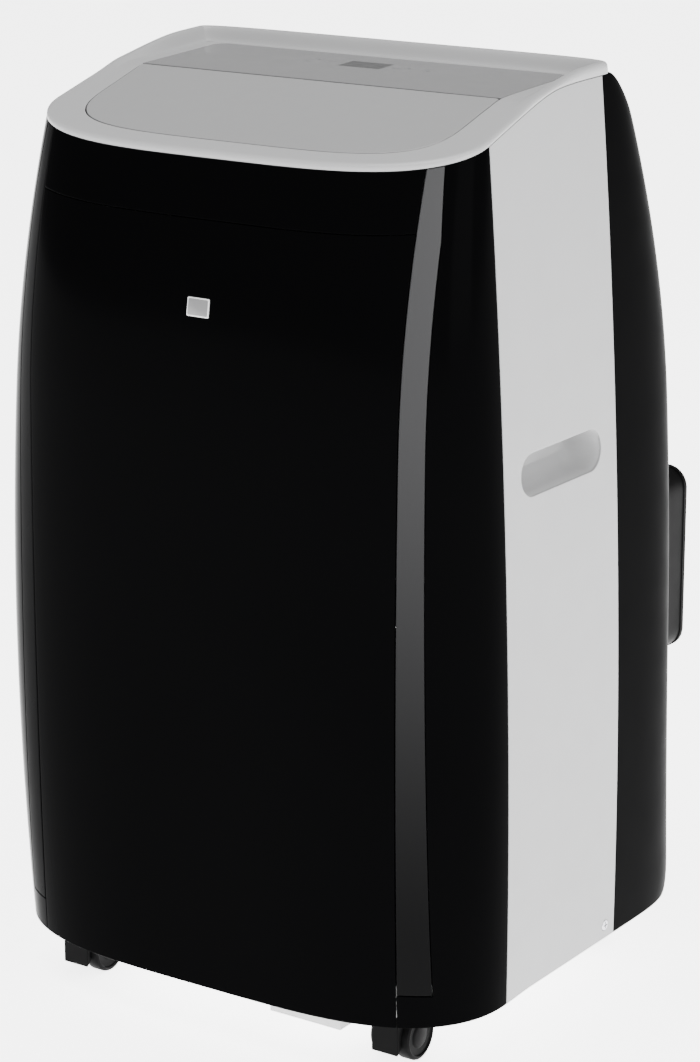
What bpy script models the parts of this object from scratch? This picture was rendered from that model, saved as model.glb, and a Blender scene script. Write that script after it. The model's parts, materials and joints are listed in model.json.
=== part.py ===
"""Portable air conditioner: tall rounded casing on four twin-wheel casters.

The part's frame is in metres, +Z up, +X to the object's left as it faces -Y; the front faces -Y.
The origin is on the floor, under the middle of the object's bounding box.
"""

import math

import bmesh
import bpy
from mathutils import Matrix, Vector

# --- Casing: driving sizes -------------------------------------------------------------------
HALF_WIDTH = 0.2330          # widest half-width of the casing
WIDEST_Z = 0.260             # height of that widest place
WIDTH_FALL = 0.140           # how fast the half-width falls away from it, per metre
FRONT_REACH = 0.2175         # front face, in front of the origin
REAR_REACH = 0.1756          # rear face, behind the origin
SHELL_BOTTOM = 0.0405        # lower edge of the casing above the floor, at the front
BOTTOM_RISE = 0.050          # that edge rises towards the rear, per metre
BOTTOM_LEVEL = 0.0470        # and then runs level
LEAN_START = 0.500           # the front leans back above this height
FRONT_LEAN = 0.800
REAR_LEAN_START = 0.481      # the rear leans forward above this height
REAR_LEAN = 0.897
FLARE_TOP = 0.300            # the rear flares out below this height
REAR_FLARE = 0.0243
REAR_TUCK = 0.010            # the rear's lower edge is rounded in by this much
TUCK_HEIGHT = 0.030
SEAM_FRONT_Y = -0.1344       # seam between side panel and front corner
SEAM_REAR_Y = 0.0351         # seam between side panel and rear housing
SEAM_BOW = 0.0194            # both seams bow forward at mid height
SEAM_MID_Z = 0.400
FRONT_X_POWER = 3.70         # roundness of the plan outline's corners
FRONT_Y_POWER = 2.18
REAR_X_POWER = 5.37
REAR_Y_POWER = 4.87
WALL = 0.0025                # moulded wall thickness
SEAM_GAP = 0.0010            # gap between neighbouring casing pieces
CLEAR = 0.0004               # gap between pieces that touch
FIT = 0.0030                 # room round what is mounted inside

# --- Top -------------------------------------------------------------------------------------
TOP_FLAT_Z = 0.7565          # level parting height of the rear half of the top
BORDER_Z = 0.7639            # parting plane between cover and front, at y = 0
BORDER_SLOPE = 0.3214
BORDER_BLEND = 0.004
FLAP_PLANE_Z = 0.7648        # plane of the outlet flap, at y = 0
FLAP_SLOPE = 0.298
FASCIA_PLANE_Z = 0.7513      # plane of the control fascia, at y = 0
FASCIA_SLOPE = 0.047
COVER_REAR_Y = 0.0720
SHOULDER_DROP = 0.0410       # height of the rounded shoulder behind the cover
SHOULDER_POWER = 2.2
RIM_HEIGHT = 0.0115
RIM_START_Y = -0.080
RIM_FULL_Y = 0.030
OPEN_HALF = 0.1702           # opening for flap and fascia
OPEN_SIDE_Y = -0.102
OPEN_FRONT_Y = -0.1665
OPEN_X_POWER = 4.2
OPEN_Y_POWER = 3.0
OPEN_REAR_Y = 0.0520
FLAP_REAR_Y = -0.0536
FLAP_THICK = 0.0030
FASCIA_THICK = 0.0030
BARREL_R = 0.0080            # hinge barrel along the flap's rear edge
PIN_R = 0.0015
DISPLAY_SIZE = (0.040, 0.023)
DISPLAY_Y = 0.0176

# --- Front details ---------------------------------------------------------------------------
CREASE_Z = 0.6601            # seam under the upper front band, at the front face
CREASE_SLOPE = 0.2265
STRIP_INNER_X = 0.1745       # accent strip on each front corner
STRIP_FOOT_Z = 0.069
STRIP_WIDTH_FOOT = 0.0245
STRIP_WIDTH_CREASE = 0.0165
STRIP_WIDTH_TOP = 0.0080
WINDOW_SIZE = (0.021, 0.015)
WINDOW_Z = 0.595

# --- Sides -----------------------------------------------------------------------------------
SLOT_Y = (-0.1090, 0.0115)
SLOT_Z = (0.4550, 0.4885)
CUP_MARGIN = 0.006
CUP_DEPTH = 0.034
SCREW_PLACE = (0.0340, 0.0593)
SCREW_R = 0.0045

# --- Rear ------------------------------------------------------------------------------------
UPPER_INTAKE = (0.140, 0.455, 0.655)      # half-width, lower edge, upper edge
LOWER_INTAKE = (0.150, 0.078, 0.226)
FILTER_SETBACK = 0.0045
FILTER_THICK = 0.0015
SOCKET_CENTRE = (0.1125, 0.3248)
SOCKET_HALF = (0.0825, 0.0803)
SOCKET_OUT = 0.0419          # how far the socket stands out of the rear face
SOCKET_BORE_R = 0.0640
DRAIN_PLACE = (-0.040, 0.0640)
DRAIN_R = 0.0070
GLAND_PLACE = (-0.185, 0.250)
GLAND_R = 0.0080

# --- Base ------------------------------------------------------------------------------------
PAN_Z = 0.0460
PAN_WALL_H = 0.0300
SUMP_X = (0.046, 0.114)
SUMP_Y = (-0.187, -0.085)
SUMP_BOTTOM = 0.0200
CASTER_X = 0.155
CASTER_FRONT_Y = -0.1720
CASTER_REAR_Y = 0.110
WHEEL_R = 0.0200
WHEEL_W = 0.0125
WHEEL_GAP = 0.0110           # room between the twin wheels
TRAIL = 0.0120
AXLE_R = 0.0025
STEM_R = 0.0050
ROUND_SIDES = 20

# --- Inside ----------------------------------------------------------------------------------
DECK_Z = 0.405
DECK_THICK = 0.003
COMPRESSOR_R = 0.056
COMPRESSOR_Z = (0.066, 0.270)
COMPRESSOR_PLACE = (-0.112, -0.090)
ACCUMULATOR_R = 0.022
COIL_DEPTH = 0.030
LOWER_FAN = {"x": SOCKET_CENTRE[0], "z": 0.158, "wheel": 0.052, "y": (0.040, 0.098)}
UPPER_FAN = {"x": -0.010, "z": 0.520, "wheel": 0.070, "y": (-0.045, 0.040)}
FAN_CLEAR = 0.008
VOLUTE_GROWTH = 0.022
DUCT_WALL = 0.0020
VANE_COUNT = 6
VANE_THICK = 0.0016
VANE_AXIS_Z = 0.690
VANE_DROP = 0.014
OUTLET_HALF = 0.152
OUTLET_Y = (-0.150, -0.078)
LINK_THICK = 0.0020
LINK_WIDTH = 0.0060
LINK_GAP = 0.0012            # below the vanes' lower edges
PEG_REACH = 0.0030           # the link's pegs stand this far from each vane's middle
PEG_THICK = 0.0015
PEG_HEIGHT = 0.0055

TAU = 2.0 * math.pi


# --- Scene helpers ---------------------------------------------------------------------------
def clear_scene():
    for item in list(bpy.data.objects):
        bpy.data.objects.remove(item, do_unlink=True)


def new_collection(name):
    made = bpy.data.collections.new(name)
    bpy.context.scene.collection.children.link(made)
    return made


def make_material(name, colour, roughness, metallic=0.0):
    made = bpy.data.materials.new(name)
    made.use_nodes = True
    shader = made.node_tree.nodes["Principled BSDF"]
    shader.inputs["Base Color"].default_value = (*colour, 1.0)
    shader.inputs["Roughness"].default_value = roughness
    shader.inputs["Metallic"].default_value = metallic
    return made


clear_scene()
PARTS = new_collection("portable_air_conditioner")
CUTTERS = new_collection("cutters")

GLOSS_BLACK = make_material("gloss_black", (0.006, 0.006, 0.007), 0.12)
SATIN_STRIP = make_material("satin_strip", (0.060, 0.060, 0.062), 0.28)
SATIN_BLACK = make_material("satin_black", (0.014, 0.014, 0.015), 0.38)
WHITE = make_material("white_plastic", (0.62, 0.62, 0.63), 0.42)
FASCIA_GREY = make_material("fascia_grey", (0.45, 0.45, 0.46), 0.25)
DISPLAY_DARK = make_material("display_dark", (0.08, 0.08, 0.085), 0.15)
WINDOW_GREY = make_material("window_grey", (0.42, 0.42, 0.43), 0.20)
BASE_GREY = make_material("base_grey", (0.55, 0.55, 0.55), 0.50)
CASTER_BLACK = make_material("caster_black", (0.018, 0.018, 0.018), 0.45)
DUCT_GREY = make_material("duct_grey", (0.25, 0.25, 0.26), 0.55)
STEEL_BLACK = make_material("compressor_enamel", (0.02, 0.02, 0.02), 0.35, 0.4)
FIN_ALUMINIUM = make_material("fin_aluminium", (0.70, 0.70, 0.72), 0.35, 1.0)
COPPER = make_material("copper", (0.72, 0.42, 0.28), 0.30, 1.0)
STEEL = make_material("steel", (0.55, 0.55, 0.56), 0.30, 1.0)
MESH_GREY = make_material("filter_mesh", (0.10, 0.10, 0.11), 0.80)
RUBBER = make_material("rubber", (0.02, 0.02, 0.02), 0.75)


def add_object(name, mesh, material):
    made = bpy.data.objects.new(name, mesh)
    if material is None:
        CUTTERS.objects.link(made)
        made.hide_render = True
        made.display_type = "WIRE"
    else:
        PARTS.objects.link(made)
        mesh.materials.append(material)
    return made


def mesh_from(bm, name):
    bmesh.ops.recalc_face_normals(bm, faces=bm.faces)
    mesh = bpy.data.meshes.new(name)
    bm.to_mesh(mesh)
    bm.free()
    return mesh


def shade_round(item, angle=40.0):
    item.data.shade_smooth()
    item.data.set_sharp_from_angle(angle=math.radians(angle))
    return item


def box(name, low, high, material=None):
    """A box between two corners, placed by its centre."""
    bm = bmesh.new()
    bmesh.ops.create_cube(bm, size=1.0)
    size = [b - a for a, b in zip(low, high)]
    bmesh.ops.scale(bm, vec=size, verts=bm.verts)
    item = add_object(name, mesh_from(bm, name), material)
    item.location = [(a + b) / 2 for a, b in zip(low, high)]
    return item


def boxes(name, corners):
    """One cutter made of several separate boxes."""
    bm = bmesh.new()
    for low, high in corners:
        size = [b - a for a, b in zip(low, high)]
        middle = Vector([(a + b) / 2 for a, b in zip(low, high)])
        matrix = Matrix.Translation(middle) @ Matrix.Diagonal((*size, 1.0))
        bmesh.ops.create_cube(bm, size=1.0, matrix=matrix)
    return add_object(name, mesh_from(bm, name), None)


AXIS_TURN = {"X": (0.0, math.pi / 2, 0.0), "Y": (-math.pi / 2, 0.0, 0.0), "Z": (0.0, 0.0, 0.0)}


def rod(name, radius, low, high, centre, axis="Z", material=None, sides=ROUND_SIDES, radius2=None):
    """A cylinder or cone from low to high along an axis through centre, the other two coordinates."""
    bm = bmesh.new()
    bmesh.ops.create_cone(bm, cap_ends=True, segments=sides, radius1=radius,
                          radius2=radius if radius2 is None else radius2, depth=high - low)
    item = add_object(name, mesh_from(bm, name), material)
    middle = (low + high) / 2
    places = {"X": (middle, *centre), "Y": (centre[0], middle, centre[1]), "Z": (*centre, middle)}
    item.location = places[axis]
    item.rotation_euler = AXIS_TURN[axis]
    return shade_round(item)


def prism(name, outline, low, high, axis="Z", material=None):
    """A flat outline carried from low to high along an axis."""
    def place(point, along):
        u, v = point
        return {"X": (along, u, v), "Y": (u, along, v), "Z": (u, v, along)}[axis]
    bm = bmesh.new()
    face = bm.faces.new([bm.verts.new(place(p, low)) for p in outline])
    grown = bmesh.ops.extrude_face_region(bm, geom=[face])
    moved = [v for v in grown["geom"] if isinstance(v, bmesh.types.BMVert)]
    step = Vector(place((0.0, 0.0), high - low))
    bmesh.ops.translate(bm, vec=step, verts=moved)
    return add_object(name, mesh_from(bm, name), material)


def lathe(name, profile, centre, axis="Z", material=None, sides=ROUND_SIDES):
    """A turned solid: profile of (radius, height) from the top centre down to the bottom centre."""
    bm = bmesh.new()
    verts = [bm.verts.new((r, 0.0, z)) for r, z in profile]
    for a, b in zip(verts, verts[1:]):
        bm.edges.new((a, b))
    mesh = bpy.data.meshes.new(name)
    bm.to_mesh(mesh)
    bm.free()
    item = add_object(name, mesh, material)
    screw = item.modifiers.new("turn", "SCREW")
    screw.steps = sides
    screw.render_steps = sides
    screw.use_merge_vertices = True
    screw.merge_threshold = 0.00005
    screw.use_smooth_shade = True
    item.location = centre
    item.rotation_euler = AXIS_TURN[axis]
    return item


def cut(item, cutter, operation="DIFFERENCE"):
    step = item.modifiers.new(operation.lower(), "BOOLEAN")
    step.operation = operation
    step.solver = "EXACT"
    step.object = cutter
    return item


def join(item, *others):
    for other in others:
        cut(item, other, "UNION")
    return item


def thicken(item, thickness):
    step = item.modifiers.new("wall", "SOLIDIFY")
    step.thickness = thickness
    step.offset = -1.0
    step.use_even_offset = True
    return item


def round_edges(item, width, segments=2, angle=40.0):
    step = item.modifiers.new("round", "BEVEL")
    step.width = width
    step.segments = segments
    step.limit_method = "ANGLE"
    step.angle_limit = math.radians(angle)
    return item


def surface(name, grid, material, thickness, centre, keep=None, closed=False):
    """A skin through rows of points, faced away from centre and thickened inwards."""
    bm = bmesh.new()
    rows = [[bm.verts.new(p) for p in row] for row in grid]
    count = len(grid[0])
    for i in range(len(rows) - 1):
        for j in range(count if closed else count - 1):
            if keep is None or keep(i, j):
                k = (j + 1) % count
                bm.faces.new((rows[i][j], rows[i][k], rows[i + 1][k], rows[i + 1][j]))
    loose = [v for v in bm.verts if not v.link_faces]
    bmesh.ops.delete(bm, geom=loose, context="VERTS")
    bm.normal_update()
    outward = sum(f.normal.dot(f.calc_center_median() - Vector(centre)) * f.calc_area() for f in bm.faces)
    if outward < 0:
        bmesh.ops.reverse_faces(bm, faces=bm.faces)
    mesh = bpy.data.meshes.new(name)
    bm.to_mesh(mesh)
    bm.free()
    item = add_object(name, mesh, material)
    if thickness:
        thicken(item, thickness)
    return shade_round(item)


# --- The casing's shape ----------------------------------------------------------------------
def half_width(z):
    return HALF_WIDTH - WIDTH_FALL * (z - WIDEST_Z) ** 2


def front_y(z):
    return -FRONT_REACH + FRONT_LEAN * max(0.0, z - LEAN_START) ** 2


def rear_y(z):
    lean = REAR_LEAN * max(0.0, z - REAR_LEAN_START) ** 2
    flare = REAR_FLARE * (max(0.0, FLARE_TOP - z) / (FLARE_TOP - BOTTOM_LEVEL)) ** 2
    under = min(1.0, max(0.0, 1.0 - (z - BOTTOM_LEVEL) / TUCK_HEIGHT))
    wall = REAR_REACH - lean + flare - REAR_TUCK * (1.0 - math.sqrt(1.0 - under * under))
    climb = min(1.0, max(0.0, 1.0 - (TOP_FLAT_Z - z) / SHOULDER_DROP))
    return COVER_REAR_Y + (wall - COVER_REAR_Y) * (1.0 - climb ** SHOULDER_POWER) ** (1.0 / SHOULDER_POWER)


def seam_shift(z):
    return SEAM_BOW * ((z - SEAM_MID_Z) / SEAM_MID_Z) ** 2


def front_point(angle, z):
    """A point of the front outline; angle 0 is the seam at +X and pi the seam at -X."""
    c, s = math.cos(angle), max(0.0, math.sin(angle))
    seam = SEAM_FRONT_Y + seam_shift(z)
    x = math.copysign(half_width(z) * abs(c) ** (2.0 / FRONT_X_POWER), c)
    return x, seam + (front_y(z) - seam) * s ** (2.0 / FRONT_Y_POWER)


def rear_point(angle, z):
    c, s = math.cos(angle), max(0.0, math.sin(angle))
    seam = SEAM_REAR_Y + seam_shift(z)
    x = math.copysign(half_width(z) * abs(c) ** (2.0 / REAR_X_POWER), c)
    return x, seam + (rear_y(z) - seam) * s ** (2.0 / REAR_Y_POWER)


def front_angle(x, z):
    share = min(1.0, abs(x) / half_width(z)) ** (FRONT_X_POWER / 2.0)
    return math.acos(math.copysign(share, x))


def rear_surface_y(x, z):
    share = min(1.0, abs(x) / half_width(z)) ** (REAR_X_POWER / 2.0)
    seam = SEAM_REAR_Y + seam_shift(z)
    return seam + (rear_y(z) - seam) * math.sqrt(1.0 - share * share) ** (2.0 / REAR_Y_POWER)


def soft_min(a, b, blend):
    d = a - b
    return a - (d + math.sqrt(d * d + 4.0 * blend * blend)) / 2.0


def border_z(y):
    """Height of the parting between the top cover and the casing below it."""
    return soft_min(TOP_FLAT_Z, BORDER_Z + BORDER_SLOPE * y, BORDER_BLEND)


def cover_z(y):
    """Height of the cover's upper face."""
    return soft_min(FASCIA_PLANE_Z + FASCIA_SLOPE * y, FLAP_PLANE_Z + FLAP_SLOPE * y, 0.0005)


def ridge_z(y):
    share = min(1.0, max(0.0, (y - RIM_START_Y) / (RIM_FULL_Y - RIM_START_Y)))
    return cover_z(y) + RIM_HEIGHT * share * share * (3.0 - 2.0 * share)


def crease_z(y):
    return CREASE_Z + CREASE_SLOPE * (y - front_y(CREASE_Z))


def lerp(a, b, share):
    return a + (b - a) * share


def column(point, low, high, count, trim_low=0.0, trim_high=0.0):
    """Points up one column of the casing; low and high are heights as functions of y."""
    made = []
    for i in range(count + 1):
        z = low(0.0)
        for _ in range(8):
            y = point(z)[1]
            z = lerp(low(y) + trim_low, high(y) - trim_high, i / count)
        x, y = point(z)
        made.append((x, y, z))
    return made


def trimmed(columns, first, last):
    """Draw the first and last columns in by a set distance, for the gap at a seam."""
    made = [list(c) for c in columns]
    for end, inner, gap in ((0, 1, first), (-1, -2, last)):
        for i, (a, b) in enumerate(zip(columns[end], columns[inner])):
            step = Vector(b) - Vector(a)
            made[end][i] = tuple(Vector(a) + step.normalized() * gap)
    return made


def strip_outer_x(z):
    """Outer edge of the accent strip, which narrows upwards."""
    if z < CREASE_Z:
        share = (z - STRIP_FOOT_Z) / (CREASE_Z - STRIP_FOOT_Z)
        return STRIP_INNER_X + lerp(STRIP_WIDTH_FOOT, STRIP_WIDTH_CREASE, max(0.0, share))
    share = (z - CREASE_Z) / (TOP_FLAT_Z - CREASE_Z)
    return STRIP_INNER_X + lerp(STRIP_WIDTH_CREASE, STRIP_WIDTH_TOP, share)


def front_columns(edge_a, edge_b, columns, rows, low, high, trim_low, trim_high):
    """Columns of the front between two edges, each given as x at a height."""
    made = []
    for j in range(columns + 1):
        def point(z, share=j / columns):
            return front_point(lerp(edge_a(z), edge_b(z), share), z)
        made.append(column(point, low, high, rows, trim_low, trim_high))
    return made


def mirror_points(grid):
    return [[(-x, y, z) for x, y, z in row] for row in grid]


BODY_CORE = (0.0, 0.0, 0.38)
HALF_GAP = SEAM_GAP / 2


def bottom(y):
    """Height of the casing's lower edge."""
    return min(BOTTOM_LEVEL, SHELL_BOTTOM + BOTTOM_RISE * max(0.0, y + FRONT_REACH))


def strip_inner(z):
    return front_angle(STRIP_INNER_X, z)


def strip_outer(z):
    return front_angle(strip_outer_x(z), z)


def build_front():
    """Upper band, main panel, and on each side the accent strip and the rounded corner."""
    def far(z):
        return math.pi - strip_inner(z)
    panel = front_columns(strip_inner, far, 14, 8, bottom, crease_z, 0.0, HALF_GAP)
    panel = surface("front_panel", trimmed(panel, HALF_GAP, HALF_GAP), GLOSS_BLACK, WALL, BODY_CORE)
    band = front_columns(strip_inner, far, 14, 3, crease_z, border_z, HALF_GAP, HALF_GAP)
    surface("front_band", trimmed(band, HALF_GAP, HALF_GAP), GLOSS_BLACK, WALL, BODY_CORE)
    build_window(panel)

    strip = front_columns(strip_outer, strip_inner, 3, 11, foot_line, border_z, HALF_GAP, HALF_GAP)
    strip = trimmed(strip, HALF_GAP, HALF_GAP)
    corner = corner_columns()
    for side, grid_strip, grid_corner in (("right", strip, corner),
                                          ("left", mirror_points(strip), mirror_points(corner))):
        surface("accent_strip_" + side, grid_strip, SATIN_STRIP, WALL, BODY_CORE)
        surface("front_corner_" + side, grid_corner, GLOSS_BLACK, WALL, BODY_CORE, keep=corner_keep)


CORNER_COLUMNS = 7
FOOT_COLUMNS = 3
CORNER_ROWS = 11


def foot_line(_):
    return STRIP_FOOT_Z - HALF_GAP


def corner_columns():
    """The corner runs from the side seam to the strip, and its foot passes under the strip."""
    def seam(_):
        return 0.0
    outer = []
    for j in range(CORNER_COLUMNS + FOOT_COLUMNS + 1):
        if j <= CORNER_COLUMNS:
            edges, share = (seam, strip_outer), j / CORNER_COLUMNS
        else:
            edges, share = (strip_outer, strip_inner), (j - CORNER_COLUMNS) / FOOT_COLUMNS
        def point(z, edges=edges, share=share):
            return front_point(lerp(edges[0](z), edges[1](z), share), z)
        foot_top = column(point, bottom, foot_line, 1)
        rest = column(point, foot_line, border_z, CORNER_ROWS, 0.0, HALF_GAP)
        outer.append(foot_top[:1] + rest)
    made = trimmed(outer, HALF_GAP, HALF_GAP)
    j = CORNER_COLUMNS
    for i in range(2, len(made[j])):
        step = Vector(outer[j - 1][i]) - Vector(outer[j][i])
        made[j][i] = tuple(Vector(outer[j][i]) + step.normalized() * HALF_GAP)
    return made


def corner_keep(j, i):
    return j < CORNER_COLUMNS or i == 0


def build_window(panel):
    """The signal window sits flush in a hole of the main panel, square to the leaning face."""
    width, height = WINDOW_SIZE
    lean = math.atan(2.0 * FRONT_LEAN * max(0.0, WINDOW_Z - LEAN_START))
    place = (0.0, front_y(WINDOW_Z), WINDOW_Z)
    hole = box("window_hole", (-width / 2, -0.01, -height / 2), (width / 2, 0.01, height / 2))
    lens = box("signal_window", (-width / 2 + CLEAR, 0.0, -height / 2 + CLEAR),
               (width / 2 - CLEAR, WALL, height / 2 - CLEAR), WINDOW_GREY)
    turn = Matrix.Translation(place) @ Matrix.Rotation(-lean, 4, "X")
    for item in (hole, lens):
        item.matrix_world = turn @ Matrix.Translation(item.location)
    cut(panel, hole)


def stadium(u, v, steps=8):
    """Outline with round ends between two limits along u and v."""
    radius = (v[1] - v[0]) / 2
    middle = (v[0] + v[1]) / 2
    made = []
    for centre, start in ((u[1] - radius, -math.pi / 2), (u[0] + radius, math.pi / 2)):
        for i in range(steps + 1):
            angle = start + math.pi * i / steps
            made.append((centre + radius * math.cos(angle), middle + radius * math.sin(angle)))
    return made


def build_side(side, sign):
    """Side panel with the grip slot, the cup behind it and the screw at its foot."""
    columns = []
    for j in range(SIDE_STEPS + 1):
        def point(z, share=j / SIDE_STEPS):
            y = lerp(SEAM_FRONT_Y, SEAM_REAR_Y, share) + seam_shift(z)
            return sign * half_width(z), y
        columns.append(column(point, bottom, border_z, 12, 0.0, HALF_GAP))
    panel = surface("side_panel_" + side, trimmed(columns, HALF_GAP, HALF_GAP), WHITE, WALL, BODY_CORE)
    face = half_width(SLOT_Z[0])
    reach = sorted((sign * (face - 0.02), sign * (face + 0.02)))
    cut(panel, prism("slot_" + side, stadium(SLOT_Y, SLOT_Z), *reach, axis="X"))

    inner = half_width(SLOT_Z[1] + CUP_MARGIN) - WALL - CLEAR - 0.0004
    rim = stadium((SLOT_Y[0] - CUP_MARGIN, SLOT_Y[1] + CUP_MARGIN),
                  (SLOT_Z[0] - CUP_MARGIN, SLOT_Z[1] + CUP_MARGIN), 6)
    centre_y, centre_z = sum(SLOT_Y) / 2, sum(SLOT_Z) / 2
    rings = []
    for depth, scale in ((0.0, 1.0), (0.55, 0.97), (0.85, 0.86), (1.0, 0.62)):
        x = sign * (inner - CUP_DEPTH * depth)
        rings.append([(x, centre_y + (y - centre_y) * (1 - (1 - scale) * 0.45),
                       centre_z + (z - centre_z) * scale) for y, z in rim])
    cup = cup_surface("handle_cup_" + side, rings, (sign * inner, centre_y, centre_z))
    thicken(cup, DUCT_WALL)

    y, z = SCREW_PLACE
    x = half_width(z)
    span = sorted((sign * (x - 0.008), sign * (x + 0.008)))
    cut(panel, rod("screw_hole_" + side, SCREW_R + CLEAR, *span, (y, z), "X", sides=16))
    span = sorted((sign * (x - WALL - 0.002), sign * (x + 0.0006)))
    rod("side_screw_" + side, SCREW_R, *span, (y, z), "X", STEEL, sides=16)


def cup_surface(name, rings, mouth):
    """A cup through rings of points, closed at its last ring and faced to the inside of the cup."""
    bm = bmesh.new()
    rows = [[bm.verts.new(p) for p in ring] for ring in rings]
    count = len(rings[0])
    for a, b in zip(rows, rows[1:]):
        for j in range(count):
            k = (j + 1) % count
            bm.faces.new((a[j], a[k], b[k], b[j]))
    bm.faces.new(rows[-1])
    bmesh.ops.recalc_face_normals(bm, faces=bm.faces)
    bm.normal_update()
    facing = sum(f.normal.dot(Vector(mouth) - f.calc_center_median()) for f in bm.faces)
    if facing < 0:
        bmesh.ops.reverse_faces(bm, faces=bm.faces)
    mesh = bpy.data.meshes.new(name)
    bm.to_mesh(mesh)
    bm.free()
    return shade_round(add_object(name, mesh, WHITE))


# --- Rear ------------------------------------------------------------------------------------
def rear_patch(half, low, high, setback, columns=8, rows=4):
    grid = []
    for j in range(columns + 1):
        x = lerp(-half, half, j / columns)
        grid.append([(x, rear_surface_y(x, z) - setback, z)
                     for z in (lerp(low, high, i / rows) for i in range(rows + 1))])
    return grid


def build_intake(name, intake, slats, posts):
    """A slatted intake grille, tilting out about its lower edge, with its dust filter behind it."""
    half, low, high = intake
    grid = rear_patch(half - SEAM_GAP, low + SEAM_GAP, high - SEAM_GAP, 0.0)
    grille = surface(name + "_grille", grid, SATIN_BLACK, WALL, BODY_CORE)
    border, bar = 0.010, 0.004
    pitch_z = (high - low - 2 * border + bar) / slats
    pitch_x = (2 * (half - border) + bar) / posts
    openings = []
    for i in range(slats):
        for j in range(posts):
            x = -half + border + j * pitch_x
            z = low + border + i * pitch_z
            openings.append(((x, 0.05, z), (x + pitch_x - bar, 0.30, z + pitch_z - bar)))
    cut(grille, boxes(name + "_slots", openings))
    inset = 0.005
    grid = rear_patch(half - inset, low + inset, high - inset, FILTER_SETBACK, 6, 4)
    surface(name + "_filter", grid, MESH_GREY, FILTER_THICK, BODY_CORE)


def intake_hole(name, intake):
    half, low, high = intake
    return box(name, (-half, 0.06, low), (half, 0.30, high))


def rounded_rectangle(centre, half, radius, steps=4):
    made = []
    for sx, sy, start in ((1, -1, -90), (1, 1, 0), (-1, 1, 90), (-1, -1, 180)):
        cx = centre[0] + sx * (half[0] - radius)
        cy = centre[1] + sy * (half[1] - radius)
        for i in range(steps + 1):
            angle = math.radians(start + 90 * i / steps)
            made.append((cx + radius * math.cos(angle), cy + radius * math.sin(angle)))
    return made


REAR_COLUMNS = 22
REAR_ROWS = 8


def housing_grid():
    """Columns of the rear housing, from the seam at +X round to the seam at -X."""
    foot = [BOTTOM_LEVEL + TUCK_HEIGHT * share for share in (0.0, 0.14, 0.45)]
    start = BOTTOM_LEVEL + TUCK_HEIGHT
    wall = foot + [lerp(start, TOP_FLAT_Z - SHOULDER_DROP, i / REAR_ROWS) for i in range(REAR_ROWS + 1)]
    top = [TOP_FLAT_Z - HALF_GAP - SHOULDER_DROP * (1 - share) for share in (0.45, 0.75, 0.93, 1.0)]
    grid = []
    for j in range(REAR_COLUMNS + 1):
        angle = math.pi * j / REAR_COLUMNS
        grid.append([(*rear_point(angle, z), z) for z in wall + top])
    return grid


def build_rear():
    grid = trimmed(housing_grid(), HALF_GAP, HALF_GAP)
    housing = surface("rear_housing", grid, GLOSS_BLACK, WALL, BODY_CORE)
    cut(housing, intake_hole("upper_intake_hole", UPPER_INTAKE))
    cut(housing, intake_hole("lower_intake_hole", LOWER_INTAKE))
    cut(housing, rod("socket_hole", SOCKET_BORE_R, 0.10, 0.25, SOCKET_CENTRE, "Y", sides=32))
    cut(housing, rod("drain_hole", DRAIN_R + WALL + CLEAR, 0.12, 0.25, DRAIN_PLACE, "Y", sides=16))
    build_intake("upper", UPPER_INTAKE, 8, 2)
    build_intake("lower", LOWER_INTAKE, 6, 2)
    build_socket()
    build_drain()
    build_gland(housing)


def build_socket():
    """Square hose socket with a round bore, standing out of the rear housing."""
    start = rear_surface_y(SOCKET_CENTRE[0], SOCKET_CENTRE[1]) - 0.012
    end = REAR_REACH + SOCKET_OUT
    outline = rounded_rectangle(SOCKET_CENTRE, SOCKET_HALF, 0.018)
    socket = prism("exhaust_socket", outline, start, end, "Y", SATIN_BLACK)
    low, high = SOCKET_CENTRE[1] - SOCKET_HALF[1], SOCKET_CENTRE[1] + SOCKET_HALF[1]
    grid = housing_grid()
    heights = [point[2] for point in grid[0]]
    first = max(i for i, z in enumerate(heights) if z < low)
    last = min(i for i, z in enumerate(heights) if z > high)
    back = [column[first:last + 1] for column in grid[1:-1]]
    trim = surface("socket_back_trim", back, None, 0.016, BODY_CORE)
    trim.modifiers["wall"].offset = 2.0 * CLEAR / trim.modifiers["wall"].thickness - 1.0
    cut(socket, trim)
    cut(socket, rod("socket_bore", SOCKET_BORE_R, 0.10, 0.25, SOCKET_CENTRE, "Y", sides=32))
    shade_round(socket)


def build_drain():
    x, z = DRAIN_PLACE
    face = rear_surface_y(x, z)
    port = rod("drain_port", DRAIN_R + WALL, face - 0.020, face + 0.006, (x, z), "Y", SATIN_BLACK, 16)
    cut(port, rod("drain_bore", DRAIN_R, face - 0.05, face + 0.05, (x, z), "Y", sides=16))
    plug = rod("drain_plug", DRAIN_R - CLEAR, face - 0.012, face + 0.008, (x, z), "Y", RUBBER, 16)
    join(plug, rod("plug_head", DRAIN_R + WALL, face + 0.006 + CLEAR, face + 0.011, (x, z), "Y", sides=16))


def build_gland(housing):
    """Cord gland on the rear housing; the supply cord itself is not part of the model."""
    x, z = GLAND_PLACE
    face = rear_surface_y(x, z)
    cut(housing, rod("gland_hole", GLAND_R + CLEAR, 0.0, 0.25, (x, z), "Y", sides=16))
    profile = ((0.0, 0.014), (GLAND_R * 0.75, 0.014), (GLAND_R, 0.004), (GLAND_R, -0.030), (0.0, -0.030))
    gland = lathe("cord_gland", profile, (x, face, z), "Y", RUBBER, 16)
    cut(gland, rod("gland_bore", GLAND_R * 0.45, face - 0.02, face + 0.03, (x, z), "Y", sides=12))


# --- Top -------------------------------------------------------------------------------------
FRONT_STEPS = 22
SIDE_STEPS = 5
REAR_STEPS = 14


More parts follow.
